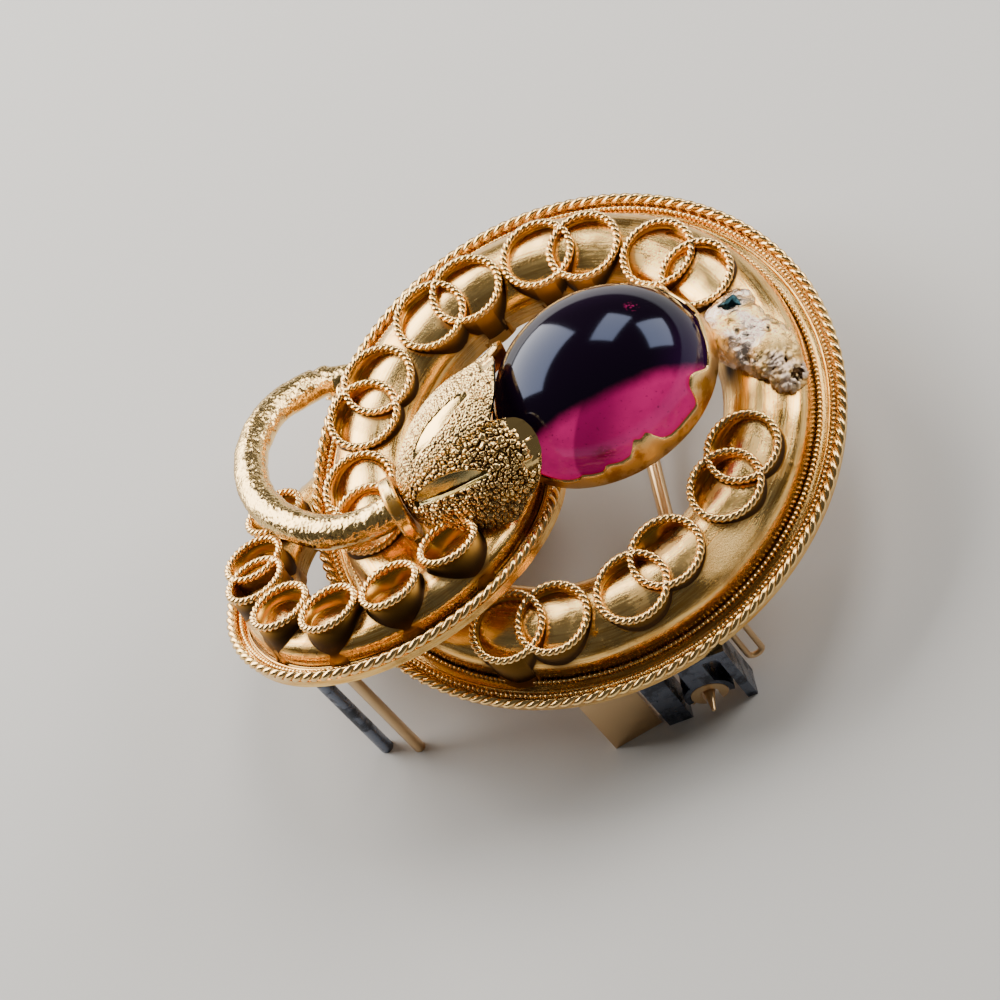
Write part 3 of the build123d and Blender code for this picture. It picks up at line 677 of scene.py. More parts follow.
def repair_piece():
    """Melted lump of solder between the bezel's end and the ring, crumbly at its near end."""
    points, normals, faces = remeshed("solder_repair", 0.09)
    from_crumbs = np.linalg.norm((points - LARGE_PLACE - CRUMBS) / CRUMBS_SIZE, axis=1)
    crumbly = np.clip(1.5 - from_crumbs, 0, 1)
    rough = sampled(points, lambda point: noise.fractal(point * 0.8, 0.7, 2.1, 4))
    fine = sampled(points, lambda point: crescents(point, 0.34) - 0.5)
    pit = np.clip(1 - sampled(points, lambda point: noise.voronoi(point * 0.8)[0][0]) / 0.2, 0, 1)
    lift = SOLDER_WAVES * rough + (CRUMB_HEIGHT * crumbly + 0.015) * fine - PIT_DEPTH * pit
    shape = points + normals * lift[:, None]
    relief = np.clip(0.5 + rough + 0.6 * crumbly * fine, 0, 1)
    return add_mesh("solder_lump", shape, faces, {"relief": relief, "pit": pit, "crumbly": crumbly})


def shard_piece():
    """Dark blue-green shard stuck in the solder beside the bezel."""
    columns, rows = 7, 5
    along = round_circle(columns)
    points = []
    for number in range(rows):
        lift = math.pi * (number + 0.5) / rows - math.pi / 2
        wide = (1 + 0.25 * np.sin(3 * along + 2 * number)) * math.cos(lift)
        row = [wide * np.cos(along), wide * np.sin(along), np.full(columns, math.sin(lift))]
        points.append(np.stack(row, axis=1) * SHARD_SIZE)
    points = np.concatenate(points) + LARGE_PLACE + SHARD_PLACE
    return add_mesh("dark_shard", points, capped_faces(rows, columns), smooth=False)


def oval_row(turn, half_length, half_width, level):
    """Points of an oval about the stone's middle at a height."""
    x = STONE_MIDDLE[0] + half_length * np.cos(turn)
    y = STONE_MIDDLE[1] + half_width * np.sin(turn)
    return np.stack([x, y, np.broadcast_to(level, x.shape)], axis=1)


def stone_piece():
    """Oval cabochon of polished garnet."""
    columns, rows = 128, 56
    along = round_circle(columns)
    half = STONE_HALF
    girdle = STONE_BASE + STONE_GIRDLE
    points = [oval_row(along, half[0], half[1], STONE_BASE)]
    for lift in np.linspace(0, math.pi / 2, rows)[:-1]:
        share, level = math.cos(lift), girdle + half[2] * math.sin(lift)
        points.append(oval_row(along, share * half[0], share * half[1], level))
    faces = capped_faces(rows, columns, top=False)
    top = rows * columns
    last = top - columns
    faces += [(last + k, last + (k + 1) % columns, top) for k in range(columns)]
    middle = np.array([*STONE_MIDDLE, girdle])
    points = np.concatenate([*points, [middle + (0, 0, half[2])]])
    attributes = {"place": (points - middle) / half}
    return add_mesh("garnet_stone", points + LARGE_PLACE, faces, attributes, sharp=50)


def bezel_piece():
    """Oval wall of thin sheet that hugs the stone, with a ragged bright rim."""
    columns = 720
    angle = np.arange(columns) * 360.0 / columns - 180.0
    turn = np.radians(angle)
    table = np.array(BEZEL_RIM)
    rim = np.interp(angle, table[:, 0], table[:, 1])
    rim = soft_line(rim + 0.03 * np.sin(9 * turn + 1) + 0.02 * np.sin(23 * turn), "wrap")
    dents = 0.03 * np.sin(5 * turn + 1) + 0.03 * np.sin(13 * turn)
    rows, marks = [], []
    for spread, share in BEZEL_SECTION:
        level = BEZEL_FLOOR + share * rim
        over = np.clip(level - STONE_BASE - STONE_GIRDLE, 0, None) / STONE_HALF[2]
        waist = np.sqrt(1 - over ** 2)
        gap = dents * share + BEZEL_PLAY + spread
        rows.append(oval_row(turn, STONE_HALF[0] * waist + gap, STONE_HALF[1] * waist + gap, level))
        marks.append(np.full(columns, np.clip((share - 0.85) / 0.1, 0, 1)))
    points = np.concatenate(rows) + LARGE_PLACE
    faces = capped_faces(len(rows), columns)
    return add_mesh("bezel_wall", points, faces, {"rim": np.concatenate(marks)}, sharp=45)


class Nodes:
    """The shader nodes of a finish or of a group while they are put together."""

    def __init__(self, tree):
        self.tree = tree

    def join(self, value, socket):
        """Gives a socket a plain value, or links another socket to it."""
        if isinstance(value, bpy.types.NodeSocket):
            self.tree.links.new(value, socket)
        else:
            socket.default_value = value

    def add(self, kind, output=0, settings=None, **values):
        """One output of a new node; values are its sockets by name, or by number as in s0."""
        item = self.tree.nodes.new(kind)
        for key, value in (settings or {}).items():
            setattr(item, key, value)
        for key, value in values.items():
            numbered = key[0] == "s" and key[1:].isdigit()
            self.join(value, item.inputs[int(key[1:]) if numbered else key.replace("_", " ")])
        return item.outputs[output]

    def stored(self, name, output="Fac"):
        """What a mesh stores on its points under a name."""
        return self.add("ShaderNodeAttribute", output, {"attribute_name": name})

    def mix(self, share, first, second):
        """Colour mix."""
        return self.add("ShaderNodeMix", 2, {"data_type": "RGBA"}, s0=share, s6=first, s7=second)

    def maths(self, operation, first, second=0.0, clamp=True):
        """One sum of two numbers, kept between 0 and 1 if asked."""
        settings = {"operation": operation, "use_clamp": clamp}
        return self.add("ShaderNodeMath", 0, settings, s0=first, s1=second)

    def times(self, first, second):
        """Product of two masks."""
        return self.maths("MULTIPLY", first, second)

    def larger(self, first, second):
        """The larger of two masks."""
        return self.maths("MAXIMUM", first, second)

    def vector(self, operation, output=0, **values):
        """One sum with vectors."""
        return self.add("ShaderNodeVectorMath", output, {"operation": operation}, **values)

    def span(self, value, low, high, to_low=0.0, to_high=1.0):
        """A value's range stretched softly onto another."""
        soft = {"interpolation_type": "SMOOTHSTEP"}
        ends = {"From_Min": low, "From_Max": high, "To_Min": to_low, "To_Max": to_high}
        return self.add("ShaderNodeMapRange", 0, soft, Value=value, **ends)

    def along(self, place, direction):
        """How far a place reaches in a direction."""
        return self.vector("DOT_PRODUCT", "Value", s0=place, s1=direction)

    def near(self, place, middle, radius):
        """Soft spot of a radius about a point."""
        gap = self.vector("DISTANCE", "Value", s0=place, s1=middle)
        return self.span(gap, radius, 0.3 * radius)

    def cloud(self, place, scale, detail, rough, **values):
        """Noise of a scale."""
        values.update(Vector=place, Scale=scale, Detail=detail, Roughness=rough)
        settings = {"noise_dimensions": "4D" if "W" in values else "3D"}
        return self.add("ShaderNodeTexNoise", 0, settings, **values)

    def patches(self, place, size, low):
        """Mask of soft-edged patches."""
        group = {"node_tree": bpy.data.node_groups["patches"]}
        return self.add("ShaderNodeGroup", "Mask", group, Vector=place, Size=size, Low=low)

    def wear(self, place, output="Height"):
        """Height or gloss of fine wear."""
        group = {"node_tree": bpy.data.node_groups["wear"]}
        return self.add("ShaderNodeGroup", output, group, Vector=place)

    def millimetres(self):
        """Place on the object in millimetres."""
        return self.vector("SCALE", s0=self.add("ShaderNodeTexCoord", "Object"), Scale=1 / MM)

    def bump(self, height, depth, strength, **below):
        """A bump of a depth in millimetres, on the normal below it if there is one."""
        size = {"Strength": strength, "Distance": depth * MM}
        return self.add("ShaderNodeBump", Height=height, **size, **below)


class Finish(Nodes):
    """A material with one Principled shader; constants are its own plain values."""

    def __init__(self, name, metallic=1.0, **constants):
        material = bpy.data.materials.new(name)
        material.use_nodes = True
        super().__init__(material.node_tree)
        self.tree.nodes.clear()
        shader = self.add("ShaderNodeBsdfPrincipled", Metallic=metallic, **constants)
        self.join(shader, self.tree.nodes.new("ShaderNodeOutputMaterial").inputs[0])
        self.shader = shader.node

    def coat(self, **values):
        """Links what changes over the surface to the shader."""
        for key, value in values.items():
            self.join(value, self.shader.inputs[key.replace("_", " ")])


class Group(Nodes):
    """A node group with named sockets that several finishes use."""

    def __init__(self, name, inputs, outputs):
        tree = bpy.data.node_groups.new(name, "ShaderNodeTree")
        for way, sockets in (("INPUT", inputs), ("OUTPUT", outputs)):
            for label, kind in sockets.items():
                tree.interface.new_socket(name=label, in_out=way, socket_type=f"NodeSocket{kind}")
        super().__init__(tree)
        self.given = tree.nodes.new("NodeGroupInput").outputs
        self.result = tree.nodes.new("NodeGroupOutput").inputs


def patch_group():
    """Soft-edged patches: a mask for tarnish, stain or bare metal."""
    inputs = {"Vector": "Vector", "Size": "Float", "Low": "Float"}
    made = Group("patches", inputs, {"Mask": "Float"})
    low = made.given["Low"]
    cloud = made.cloud(made.given["Vector"], made.given["Size"], 6.0, 0.62)
    mask = made.span(cloud, low, made.maths("ADD", low, PATCH_EDGE, clamp=False))
    made.join(mask, made.result["Mask"])


def wear_group():
    """Fine scratches and pits: a height and a little unevenness of the gloss."""
    made = Group("wear", {"Vector": "Vector"}, {"Height": "Float", "Gloss": "Float"})
    place = made.given["Vector"]
    slant = {"Scale": (3.0, 14.0, 9.0), "Rotation": (0.3, 0.5, 0.9)}
    lines = made.cloud(made.add("ShaderNodeMapping", Vector=place, **slant), 1.0, 5.0, 0.7)
    dust = made.cloud(place, 9.0, 3.0, 0.6)
    made.join(made.maths("ADD", lines, dust, clamp=False), made.result["Height"])
    made.join(lines, made.result["Gloss"])


def ring_gold(colours):
    """Brushed and worn gold of the rings' sheet."""
    made = Finish("ring_gold")
    place = made.stored("place", "Vector")
    x, y, z = made.add("ShaderNodeSeparateXYZ", Vector=place).node.outputs
    squares = [made.maths("POWER", part, 2.0, clamp=False) for part in (x, y)]
    reach = made.maths("SQRT", made.maths("ADD", *squares, clamp=False), clamp=False)
    # The brush marks run round the ring, long along it and fine across it
    long_way = made.vector("SCALE", s0=place, Scale=0.45)
    x, y, _ = made.add("ShaderNodeSeparateXYZ", Vector=long_way).node.outputs
    across, up = [made.maths("MULTIPLY", part, 11.0, clamp=False) for part in (reach, z)]
    brushing = made.add("ShaderNodeCombineXYZ", s0=x, s1=y, s2=across)
    lines = made.cloud(brushing, 1.0, 4.0, 0.65, W=up)
    stain = made.patches(place, 0.55, 0.5)
    green = made.patches(place, 0.32, 0.56)
    specks = made.patches(place, 2.6, 0.6)
    names = ("collar", "inside", "foot", "filed", "hole_shade")
    collar, inside, foot, filed, hole_shade = [made.stored(name) for name in names]
    colour = made.mix(made.span(lines, 0.35, 0.65), colours.warm_gold, colours.pale_gold)
    colour = made.mix(made.times(stain, 0.5), colour, colours.stain)
    colour = made.mix(made.times(green, 0.35), colour, colours.tarnish)
    # Inside the circles the gold is made paler as a painted sheen on their floors; the specks there
    # are stain
    colour = made.mix(made.times(inside, 0.5), colour, colours.pale_gold)
    colour = made.mix(made.times(made.times(specks, inside), 0.8), colour, colours.stain)
    colour = made.mix(made.times(filed, 0.6), colour, colours.pale_gold)
    # Painted shade: a dark halo round each wire circle; the dome's foot along the border is darker
    # too
    colour = made.mix(made.larger(made.times(collar, 0.8), foot), colour, colours.grime_and_shade)
    # Painted shadow: a near-black patch where the hole by the bezel's end lies in shade
    colour = made.mix(hole_shade, colour, colours.black_shade_and_dull)
    rough = made.maths("ADD", made.span(lines, 0.3, 0.7, 0.13, 0.24), made.times(stain, 0.14))
    # Rougher where shade is painted round the circles and in the hole, and where the ring is filed
    worn = made.larger(collar, made.larger(filed, hole_shade))
    rough = made.maths("ADD", rough, made.times(worn, 0.25))
    brushed = made.bump(lines, 0.012, 0.6)
    marked = made.bump(made.wear(place), 0.01, 0.5, Normal=brushed)
    scored = made.bump(made.times(made.wear(place, "Gloss"), filed), 0.1, 1.0, Normal=marked)
    made.coat(Base_Color=colour, Roughness=rough, Normal=scored)


def wire_gold(colours):
    """Gold of the twisted wires, with painted shade in the grooves of the twist, and of their
    orange strips.
    """
    made = Finish("wire_gold")
    place = made.millimetres()
    crease_shade = made.stored("crease_shade")
    colour = made.mix(made.patches(place, 0.5, 0.48), colours.wire_gold, colours.pale_gold)
    # Painted shade: deeper orange, then dark brown, in the twist's furrows, the bead necks and
    # under the wires
    colour = made.mix(made.span(crease_shade, 0.35, 0.95), colour, colours.strip_gold)
    colour = made.mix(made.stored("strip"), colour, colours.strip_gold)
    colour = made.mix(made.span(crease_shade, 0.75, 1.0), colour, colours.grime_and_shade)
    rough = made.span(crease_shade, 0.1, 0.9, 0.17, 0.5)
    made.coat(Base_Color=colour, Roughness=rough, Normal=made.bump(made.wear(place), 0.008, 0.5))


def grain_gold(colours):
    """Pale matt gold of the calyx and the twig, with polished cuts and edges."""
    made = Finish("grain_gold")
    place = made.millimetres()
    polish, rim = made.stored("polish"), made.stored("rim")
    top = made.mix(made.patches(place, 0.7, 0.46), colours.matt_gold, colours.pale_gold)
    colour = made.mix(made.span(made.stored("relief"), 0.08, 0.75), colours.hollow, top)
    colour = made.mix(polish, colour, colours.pale_gold)
    colour = made.mix(made.times(made.stored("tarnish"), 0.75), colour, colours.tarnish)
    colour = made.mix(rim, colour, colours.pale_gold)
    rough = made.span(made.larger(polish, rim), 0.0, 1.0, 0.2, 0.13)
    made.coat(Base_Color=colour, Roughness=rough, Normal=made.bump(made.wear(place), 0.012, 0.5))


def bezel_gold(colours):
    """Matt orange wall with a bright burnished rim."""
    made = Finish("bezel_gold")
    place = made.millimetres()
    rim = made.stored("rim")
    colour = made.mix(made.patches(place, 0.9, 0.46), colours.wire_gold, colours.strip_gold)
    colour = made.mix(rim, colour, colours.pale_gold)
    rough = made.span(rim, 0.0, 1.0, 0.36, 0.12)
    made.coat(Base_Color=colour, Roughness=rough, Normal=made.bump(made.wear(place), 0.02, 0.6))


def garnet_glass(colours):
    """Near-black purple stone with painted glow: magenta low on its near side; with flaws and
    specks.
    """
    polish = {"IOR": 1.38, "Roughness": 0.1, "Specular_Tint": (0.5, 0.62, 1.0, 1.0)}
    made = Finish("garnet_glass", 0.0, Emission_Strength=0.56, **polish)
    place = made.stored("place", "Vector")
    cloud = made.cloud(place, 3.2, 5.0, 0.6)
    specks = made.cloud(place, 34.0, 2.0, 0.5)
    # Places are shares of the stone's half sizes from the middle of its girdle. The glow starts at
    # a nearly straight line along the stone, and a dark band parts it in two
    ripple = made.maths("MULTIPLY", cloud, 0.09, clamp=False)
    depth = made.maths("ADD", made.along(place, (-0.06, -1.0, -0.2)), ripple, clamp=False)
    glow = made.span(depth, 0.43, 0.6)
    slant = made.along(place, (1.0, -1.36, 0.0))
    bright = made.larger(made.span(slant, 0.66, 0.6, 0.0, 0.9), made.span(slant, 0.85, 1.4))
    pink = made.mix(bright, colours.stone_band, colours.stone_glow)
    pink = made.mix(made.span(cloud, 0.62, 0.38, 0.0, 0.35), pink, colours.stone_band)
    pink = made.mix(made.span(specks, 0.66, 0.72, 0.0, 0.75), pink, colours.stone_dark)
    flaw = made.times(made.near(place, (-0.245, -0.929, 0.279), 0.15), made.span(specks, 0.36, 0.5))
    pink = made.mix(made.times(flaw, 0.85), pink, colours.stone_flaw)
    # A painted veil of faint purple light over the dome's far side
    veil = made.span(made.along(place, (1.0, -0.6, -0.3)), 0.55, 1.15)
    far = made.span(made.along(place, (0.2, 1.0, 0.0)), 0.3, 0.75, 0.0, 0.5)
    dome = made.mix(made.larger(veil, far), colours.stone_dark, colours.stone_veil)
    # A painted glint: a small pink spot of emitted light high on the dome
    glint = made.times(made.near(place, (0.6, 0.15, 0.79), 0.09), made.span(specks, 0.5, 0.62))
    dome = made.mix(glint, dome, colours.stone_glow)
    # The emission paints light into the stone: the magenta glow, the veil and the glint, dimmed by
    # specks and the flaw
    base = made.mix(glow, colours.stone_dark, colours.stone_band)
    made.coat(Base_Color=base, Emission_Color=made.mix(glow, dome, pink))


def solder_metal(colours):
    """Pale grey and pinkish solder, brown stains, pits darkened as painted shade, dirty in its
    crumbly part.
    """
    made = Finish("solder_metal")
    place = made.millimetres()
    crumbly = made.stored("crumbly")
    colour = made.mix(made.patches(place, 0.55, 0.46), colours.solder, colours.pale_gold)
    brown = made.larger(made.patches(place, 3.5, 0.6), made.patches(place, 1.1, 0.52))
    colour = made.mix(made.times(brown, 0.7), colour, colours.stain)
    dirt = made.times(crumbly, made.span(made.stored("relief"), 0.6, 0.35))
    colour = made.mix(dirt, colour, colours.grime_and_shade)
    # Painted shade: the pits are made near-black
    colour = made.mix(made.stored("pit"), colour, colours.black_shade_and_dull)
    rough = made.span(crumbly, 0.0, 1.0, 0.2, 0.45)
    made.coat(Base_Color=colour, Roughness=rough, Normal=made.bump(made.wear(place), 0.04, 0.8))


def fitting_metal(name, bright, dull, rough):
    """Old polished metal with dull patches."""
    made = Finish(name)
    place = made.millimetres()
    dullness = made.patches(place, 0.8, 0.45)
    uneven = made.span(dullness, 0.0, 1.0, rough, rough + 0.2)
    normal = made.bump(made.wear(place), 0.02, 0.5)
    made.coat(Base_Color=made.mix(dullness, bright, dull), Roughness=uneven, Normal=normal)


def floor_paper(colours):
    """Plain pale matt floor."""
    made = Finish("floor_paper", 0.0, Roughness=0.9, Base_Color=colours.floor)
    made.coat(Normal=made.bump(made.cloud(made.millimetres(), 1.2, 4.0, 0.6), 0.02, 0.3))


def length(name, description, millimetre):
    """A length property whose default is given in millimetres."""
    return bpy.props.FloatProperty(
        name=name, description=description, default=millimetre * MM, min=0.0, unit="LENGTH",
        precision=5,
    )


def bearing(name, description, degrees):
    """An angle property whose default is given in degrees."""
    return bpy.props.FloatProperty(
        name=name, description=description, default=math.radians(degrees), subtype="ANGLE"
    )


def tint(name, description, value):
    """A colour property."""
    return bpy.props.FloatVectorProperty(
        name=name, description=description, default=(*value, 1.0), size=4, min=0.0, max=1.0,
        subtype="COLOR",
    )


class BroochSizes(bpy.types.PropertyGroup):
    """Sizes of the wirework and of the stamped grain."""

    rope_pitch: length("Border twist", "Length of one turn of the borders' twisted wire", 1.3)
    circle_pitch: length("Circle twist", "Length of one turn of the circles' twisted wire", 0.7)
    bead_pitch: length("Bead spacing", "Distance between the beads of the borders", 0.28)
    coarse_grain: length("Coarse grain", "Size of the struck grain on the near sepal", 0.3)
    fine_grain: length("Fine grain", "Size of the grain on the other sepals and the twig", 0.18)


class BroochColours(bpy.types.PropertyGroup):
    """Colours of the finishes."""

    warm_gold: tint("Warm gold", "Base gold of the rings", (0.74, 0.37, 0.07))
    pale_gold: tint("Pale gold", "Polished and bare gold", (0.97, 0.66, 0.25))
    wire_gold: tint("Wire gold", "Gold of the twisted wires", (0.92, 0.60, 0.24))
    strip_gold: tint("Strip gold", "Orange gold of the circles' strips", (0.60, 0.29, 0.045))
    matt_gold: tint("Matt gold", "Grained gold of the calyx and the twig", (0.86, 0.60, 0.25))
    deep_gold: tint("Deep gold", "Gold of worn fittings", (0.42, 0.20, 0.05))
    hollow: tint("Hollows", "Dark gold between the struck grains", (0.16, 0.07, 0.015))
    stain: tint("Stain", "Orange-brown stain", (0.36, 0.17, 0.04))
    tarnish: tint("Tarnish", "Grey-green tarnish", (0.26, 0.25, 0.13))
    # Dark brown: painted shade round the circles, in the wires' furrows and under them, and dirt in
    # the solder
    grime_and_shade: tint("Grime", "Dark dirt in grooves", (0.05, 0.025, 0.010))
    # Near-black: painted shade in the hole by the bezel and in the solder's pits, and the shard's
    # dull patches
    black_shade_and_dull: tint("Soot", "Near-black scorching and holes", (0.012, 0.008, 0.006))
    solder: tint("Solder", "Pale grey-pink solder", (0.80, 0.63, 0.50))
    stone_dark: tint("Stone, dark", "Near-black purple of the garnet's dome", (0.003, 0.001, 0.004))
    # Veil, glow and band are painted light that the stone emits
    stone_veil: tint("Stone, veil", "Purple veil at the garnet's far side", (0.03, 0.004, 0.045))
    stone_glow: tint("Stone, glow", "Bright pink low in the garnet", (0.72, 0.018, 0.19))
    stone_band: tint("Stone, band", "Darker magenta between the bright parts", (0.25, 0.002, 0.07))
    stone_flaw: tint("Stone, flaw", "Reddish flaw in the garnet", (0.10, 0.002, 0.01))
    steel: tint("Steel", "Dark blue-grey fittings", (0.14, 0.16, 0.21))
    dark_steel: tint("Dull steel", "Darker patches of the steel", (0.05, 0.055, 0.07))
    shard: tint("Shard", "Dark blue-green shard", (0.02, 0.05, 0.06))
    floor: tint("Floor", "Plain pale floor", (0.60, 0.59, 0.57))


class BroochStage(bpy.types.PropertyGroup):
    """Camera and light."""

    azimuth: bearing("Azimuth", "Turn of the camera round the brooch", 12.798)
    elevation: bearing("Elevation", "Camera's angle above the floor", 55.53)
    roll: bearing("Roll", "Camera's turn about its own line of sight", -40.808)
    distance: length("Distance", "From the camera to the point it looks at", 250.0)
    lens: bpy.props.FloatProperty(
        name="Lens", description="Focal length", default=170.81, unit="CAMERA", min=1.0
    )
    power: bpy.props.FloatProperty(
        name="Light", description="Share of the lights' power", default=1.0, min=0.0
    )


FINISH_MAKERS = (
    ring_gold, wire_gold, grain_gold, bezel_gold, garnet_glass, solder_metal, floor_paper,
)

# Finishes of the collar, the fittings and the shard: name, bright and dull colour, least roughness
FITTING_FINISHES = (
    ("fitting_gold", "warm_gold", "deep_gold", 0.24),
    ("collar_gold", "pale_gold", "warm_gold", 0.16),
    ("fitting_steel", "steel", "dark_steel", 0.24),
    ("dark_shard", "shard", "black_shade_and_dull", 0.25),
)


def finishes():
    """The finishes by name, made once."""
    if "patches" not in bpy.data.node_groups:
        patch_group()
        wear_group()
        colours = bpy.context.scene.brooch_colours
        for make in FINISH_MAKERS:
            make(colours)
        for name, bright, dull, rough in FITTING_FINISHES:
            fitting_metal(name, getattr(colours, bright), getattr(colours, dull), rough)
    return bpy.data.materials


# CAD nodes that stay as they are: finish and width of their rounded edges in millimetres
KEPT_NODES = {
    "stem_collar": ("collar_gold", 0.0),
    "pin_hinge": ("fitting_gold", 0.06),
    "pin_stem": ("fitting_gold", 0.0),
    "catch_housing": ("fitting_steel", 0.05),
    "catch_roller": ("fitting_gold", 0.05),
    "back_plate": ("fitting_gold", 0.05),
    "chain_loop": ("fitting_gold", 0.0),
    "steel_post": ("fitting_steel", 0.05),
    "gold_post": ("fitting_gold", 0.05),
}


class BROOCH_OT_rings(bpy.types.Operator):
    """Makes the two rings' sheets"""

    bl_idname = "brooch.rings"
    bl_label = "Rings"

    def execute(self, context):
        for prefix, ring, circles, place, turn in RINGS:
            marks = (LARGE_LUMPS, LARGE_FILED, LARGE_HOLE_SHADE) if ring is LARGE else ()
            sheet = ring_piece(f"{prefix}_sheet", ring, circles, place, turn, *marks)
            dress(sheet, "ring_gold", "gold", prefix)
        return {"FINISHED"}


class BROOCH_OT_borders(bpy.types.Operator):
    """Makes the twisted ropes and the beading of both borders"""

    bl_idname = "brooch.borders"
    bl_label = "Border wires"

    def execute(self, context):
        sizes = context.scene.brooch_sizes
        rope_pitch, bead_pitch = sizes.rope_pitch / MM, sizes.bead_pitch / MM
        for prefix, ring, _, place, turn in RINGS:
            reach = ring["radius"] - ROPE_WIRE
            rope = twisted_ring(reach, ROPE_WIRE, rope_pitch, sides=9, steps=18)
            rows = [beaded_ring(ring["radius"] - BEAD_INSET, bead_pitch)]
            if ring is LARGE:
                foot = ring["centre"] + ring["tube"] + BEAD_WIRE + 0.03
                rows.append(beaded_ring(foot, bead_pitch))
            for (points, faces, crease_shade), level, name, node in (
                (rope, ROPE_LEVEL, "twist", "rope"), (joined(rows), BEAD_LEVEL, "beads", "beading")
            ):
                points = (points + np.array([0, 0, level])) @ turn.T + place
                wire = add_mesh(f"{prefix}_{name}", points, faces, {"crease_shade": crease_shade})
                dress(wire, "wire_gold", "gold_wire", f"{prefix}_{node}")
        return {"FINISHED"}


class BROOCH_OT_circles(bpy.types.Operator):
    """Makes the wire circles on the rings' crowns"""

    bl_idname = "brooch.circles"
    bl_label = "Wire circles"

    def execute(self, context):
        pitch = context.scene.brooch_sizes.circle_pitch / MM
        for prefix, ring, circles, place, turn in RINGS:
            for number, places in circles.items():
                piece = circle_piece(f"{prefix}_wires_{number}", ring, places, pitch, place, turn)
                dress(piece, "wire_gold", "gold_wire", f"{prefix}_circles_{number}")
        return {"FINISHED"}


class BROOCH_OT_calyx(bpy.types.Operator):
    """Makes the grained calyx"""

    bl_idname = "brooch.calyx"
    bl_label = "Calyx"

    def execute(self, context):
        dress(calyx_piece(context.scene.brooch_sizes), "grain_gold", "gold", "calyx")
        return {"FINISHED"}


class BROOCH_OT_stem(bpy.types.Operator):
    """Makes the grained twig"""

    bl_idname = "brooch.stem"
    bl_label = "Stem"

    def execute(self, context):
        dress(stem_piece(context.scene.brooch_sizes), "grain_gold", "gold", "stem")
        return {"FINISHED"}


class BROOCH_OT_stone(bpy.types.Operator):
    """Makes the garnet and its bezel"""

    bl_idname = "brooch.stone"
    bl_label = "Garnet and bezel"

    def execute(self, context):
        dress(stone_piece(), "garnet_glass", "garnet", "garnet")
        dress(bezel_piece(), "bezel_gold", "gold", "bezel")
        return {"FINISHED"}


class BROOCH_OT_repair(bpy.types.Operator):
    """Makes the rough solder repair and the shard in it"""

    bl_idname = "brooch.repair"
    bl_label = "Solder repair"

    def execute(self, context):
        dress(repair_piece(), "solder_metal", "solder", "solder_repair")
        dress(shard_piece(), "dark_shard", "dark_steel")
        return {"FINISHED"}


class BROOCH_OT_fittings(bpy.types.Operator):
    """Gives the collar and the back fittings their finishes"""

    bl_idname = "brooch.fittings"
    bl_label = "Collar and fittings"

    def execute(self, context):
        for name, (finish, rounding) in KEPT_NODES.items():
            node = frame["nodes"][name]
            node.data.materials.clear()
            node.data.materials.append(finishes()[finish])
            if rounding:
                soft = node.modifiers.new("rounded_edges", "BEVEL")
                soft.width = rounding * MM
                soft.segments = 2
                soft.limit_method = "ANGLE"
        return {"FINISHED"}


class BROOCH_OT_stage(bpy.types.Operator):
    """Sets the floor, the lights and the camera"""

    bl_idname = "brooch.stage"
    bl_label = "Stage"

    def execute(self, context):
        stage = context.scene.brooch_stage
        objects = context.scene.collection.objects
        bpy.ops.mesh.primitive_plane_add(size=1.6, location=(0, 0, 0))
        floor = context.active_object
        floor.name = "floor"
        floor.data.materials.append(finishes()["floor_paper"])
        world = bpy.data.worlds.new("studio")
        world.use_nodes = True
        background = world.node_tree.nodes["Background"].inputs
        background["Color"].default_value = WORLD_COLOUR
        background["Strength"].default_value = WORLD_STRENGTH
        context.scene.world = world
        for name, azimuth, elevation, distance, width, height, glow in LIGHTS:
            data = bpy.data.lights.new(name, "AREA")
            data.shape = "RECTANGLE"
            data.size = width * MM
            data.size_y = height * MM
            data.energy = math.pi * data.size * data.size_y * glow * stage.power
            data.color = LIGHT_COLOUR
            lamp = bpy.data.objects.new(name, data)
            objects.link(lamp)
            turn, lift = math.radians(azimuth), math.radians(elevation)
            level = math.cos(lift)
            way = Vector((level * math.cos(turn), level * math.sin(turn), math.sin(lift)))
            lamp.location = Vector(LARGE_PLACE * MM) + way * distance * MM
            lamp.rotation_euler = (-way).to_track_quat("-Z", "Y").to_euler()
        data = bpy.data.cameras.new("camera")
        data.lens = stage.lens
        data.sensor_width = 36.0
        data.clip_start = 0.01
        camera = bpy.data.objects.new("camera", data)
        objects.link(camera)
        turn = Matrix.Rotation(stage.azimuth, 3, "Z")
        turn = turn @ Matrix.Rotation(math.pi / 2 - stage.elevation, 3, "X")
        turn = turn @ Matrix.Rotation(stage.roll, 3, "Z")
        camera.rotation_euler = turn.to_euler()
        target = Vector((LARGE_PLACE + VIEW_TARGET) * MM)
        camera.location = target + turn @ Vector((0, 0, stage.distance))
        context.scene.camera = camera
        return {"FINISHED"}


WORLD_COLOUR = (1.0, 0.98, 0.95, 1.0)
WORLD_STRENGTH = 0.1
LIGHT_COLOUR = (1.0, 0.97, 0.93)

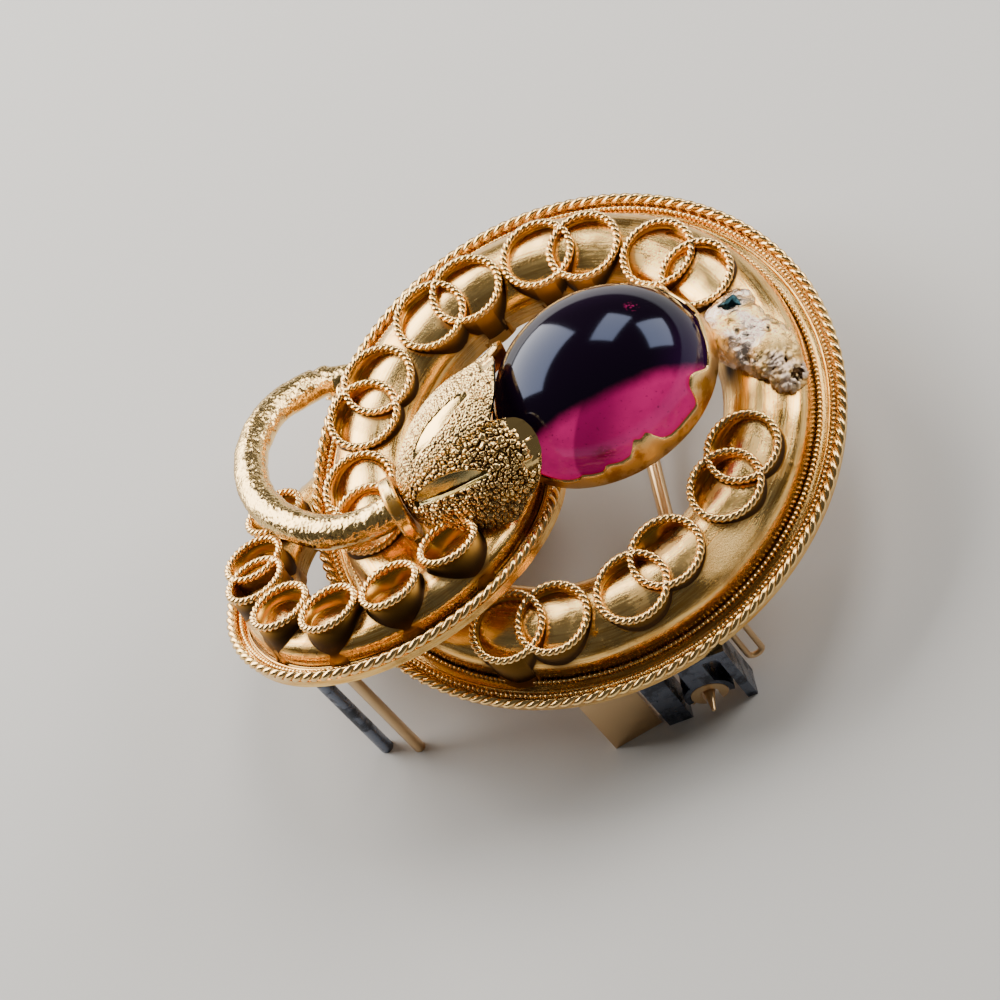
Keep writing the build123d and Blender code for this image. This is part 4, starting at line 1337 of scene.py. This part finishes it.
# Soft boxes: name, azimuth, elevation, distance, width and height in millimetres, and glow
LIGHTS = (
    ("tall_softbox", 128.0, 28.0, 260.0, 270.0, 250.0, 9.5),
    ("window_high", 52.0, 49.0, 300.0, 100.0, 170.0, 9.0),
    ("window_side", 12.0, 25.0, 300.0, 170.0, 150.0, 9.0),
)


class BROOCH_PT_panel(bpy.types.Panel):
    """Lists the brooch's pieces and their values"""

    bl_idname = "BROOCH_PT_panel"
    bl_label = "Garnet Knot Brooch"
    bl_space_type = "VIEW_3D"
    bl_region_type = "UI"
    bl_category = "Brooch"

    def draw(self, context):
        layout = self.layout
        for name in GROUPS:
            group = getattr(context.scene, name)
            box = layout.box()
            for key in group.__annotations__:
                box.prop(group, key)
        for operator in OPERATORS:
            layout.operator(operator.bl_idname)


GROUPS = {"brooch_sizes": BroochSizes, "brooch_colours": BroochColours, "brooch_stage": BroochStage}
OPERATORS = (
    BROOCH_OT_rings,
    BROOCH_OT_borders,
    BROOCH_OT_circles,
    BROOCH_OT_calyx,
    BROOCH_OT_stem,
    BROOCH_OT_stone,
    BROOCH_OT_repair,
    BROOCH_OT_fittings,
    BROOCH_OT_stage,
)


def register():
    for name, group in GROUPS.items():
        bpy.utils.register_class(group)
        setattr(bpy.types.Scene, name, bpy.props.PointerProperty(type=group))
    for operator in OPERATORS:
        bpy.utils.register_class(operator)
    bpy.utils.register_class(BROOCH_PT_panel)


def unregister():
    bpy.utils.unregister_class(BROOCH_PT_panel)
    for operator in reversed(OPERATORS):
        bpy.utils.unregister_class(operator)
    for name, group in reversed(GROUPS.items()):
        delattr(bpy.types.Scene, name)
        bpy.utils.unregister_class(group)


def main():
    register()
    bpy.ops.brooch.rings()
    bpy.ops.brooch.borders()
    bpy.ops.brooch.circles()
    bpy.ops.brooch.calyx()
    bpy.ops.brooch.stem()
    bpy.ops.brooch.stone()
    bpy.ops.brooch.repair()
    bpy.ops.brooch.fittings()
    bpy.ops.brooch.stage()


if __name__ == "__main__":
    main()
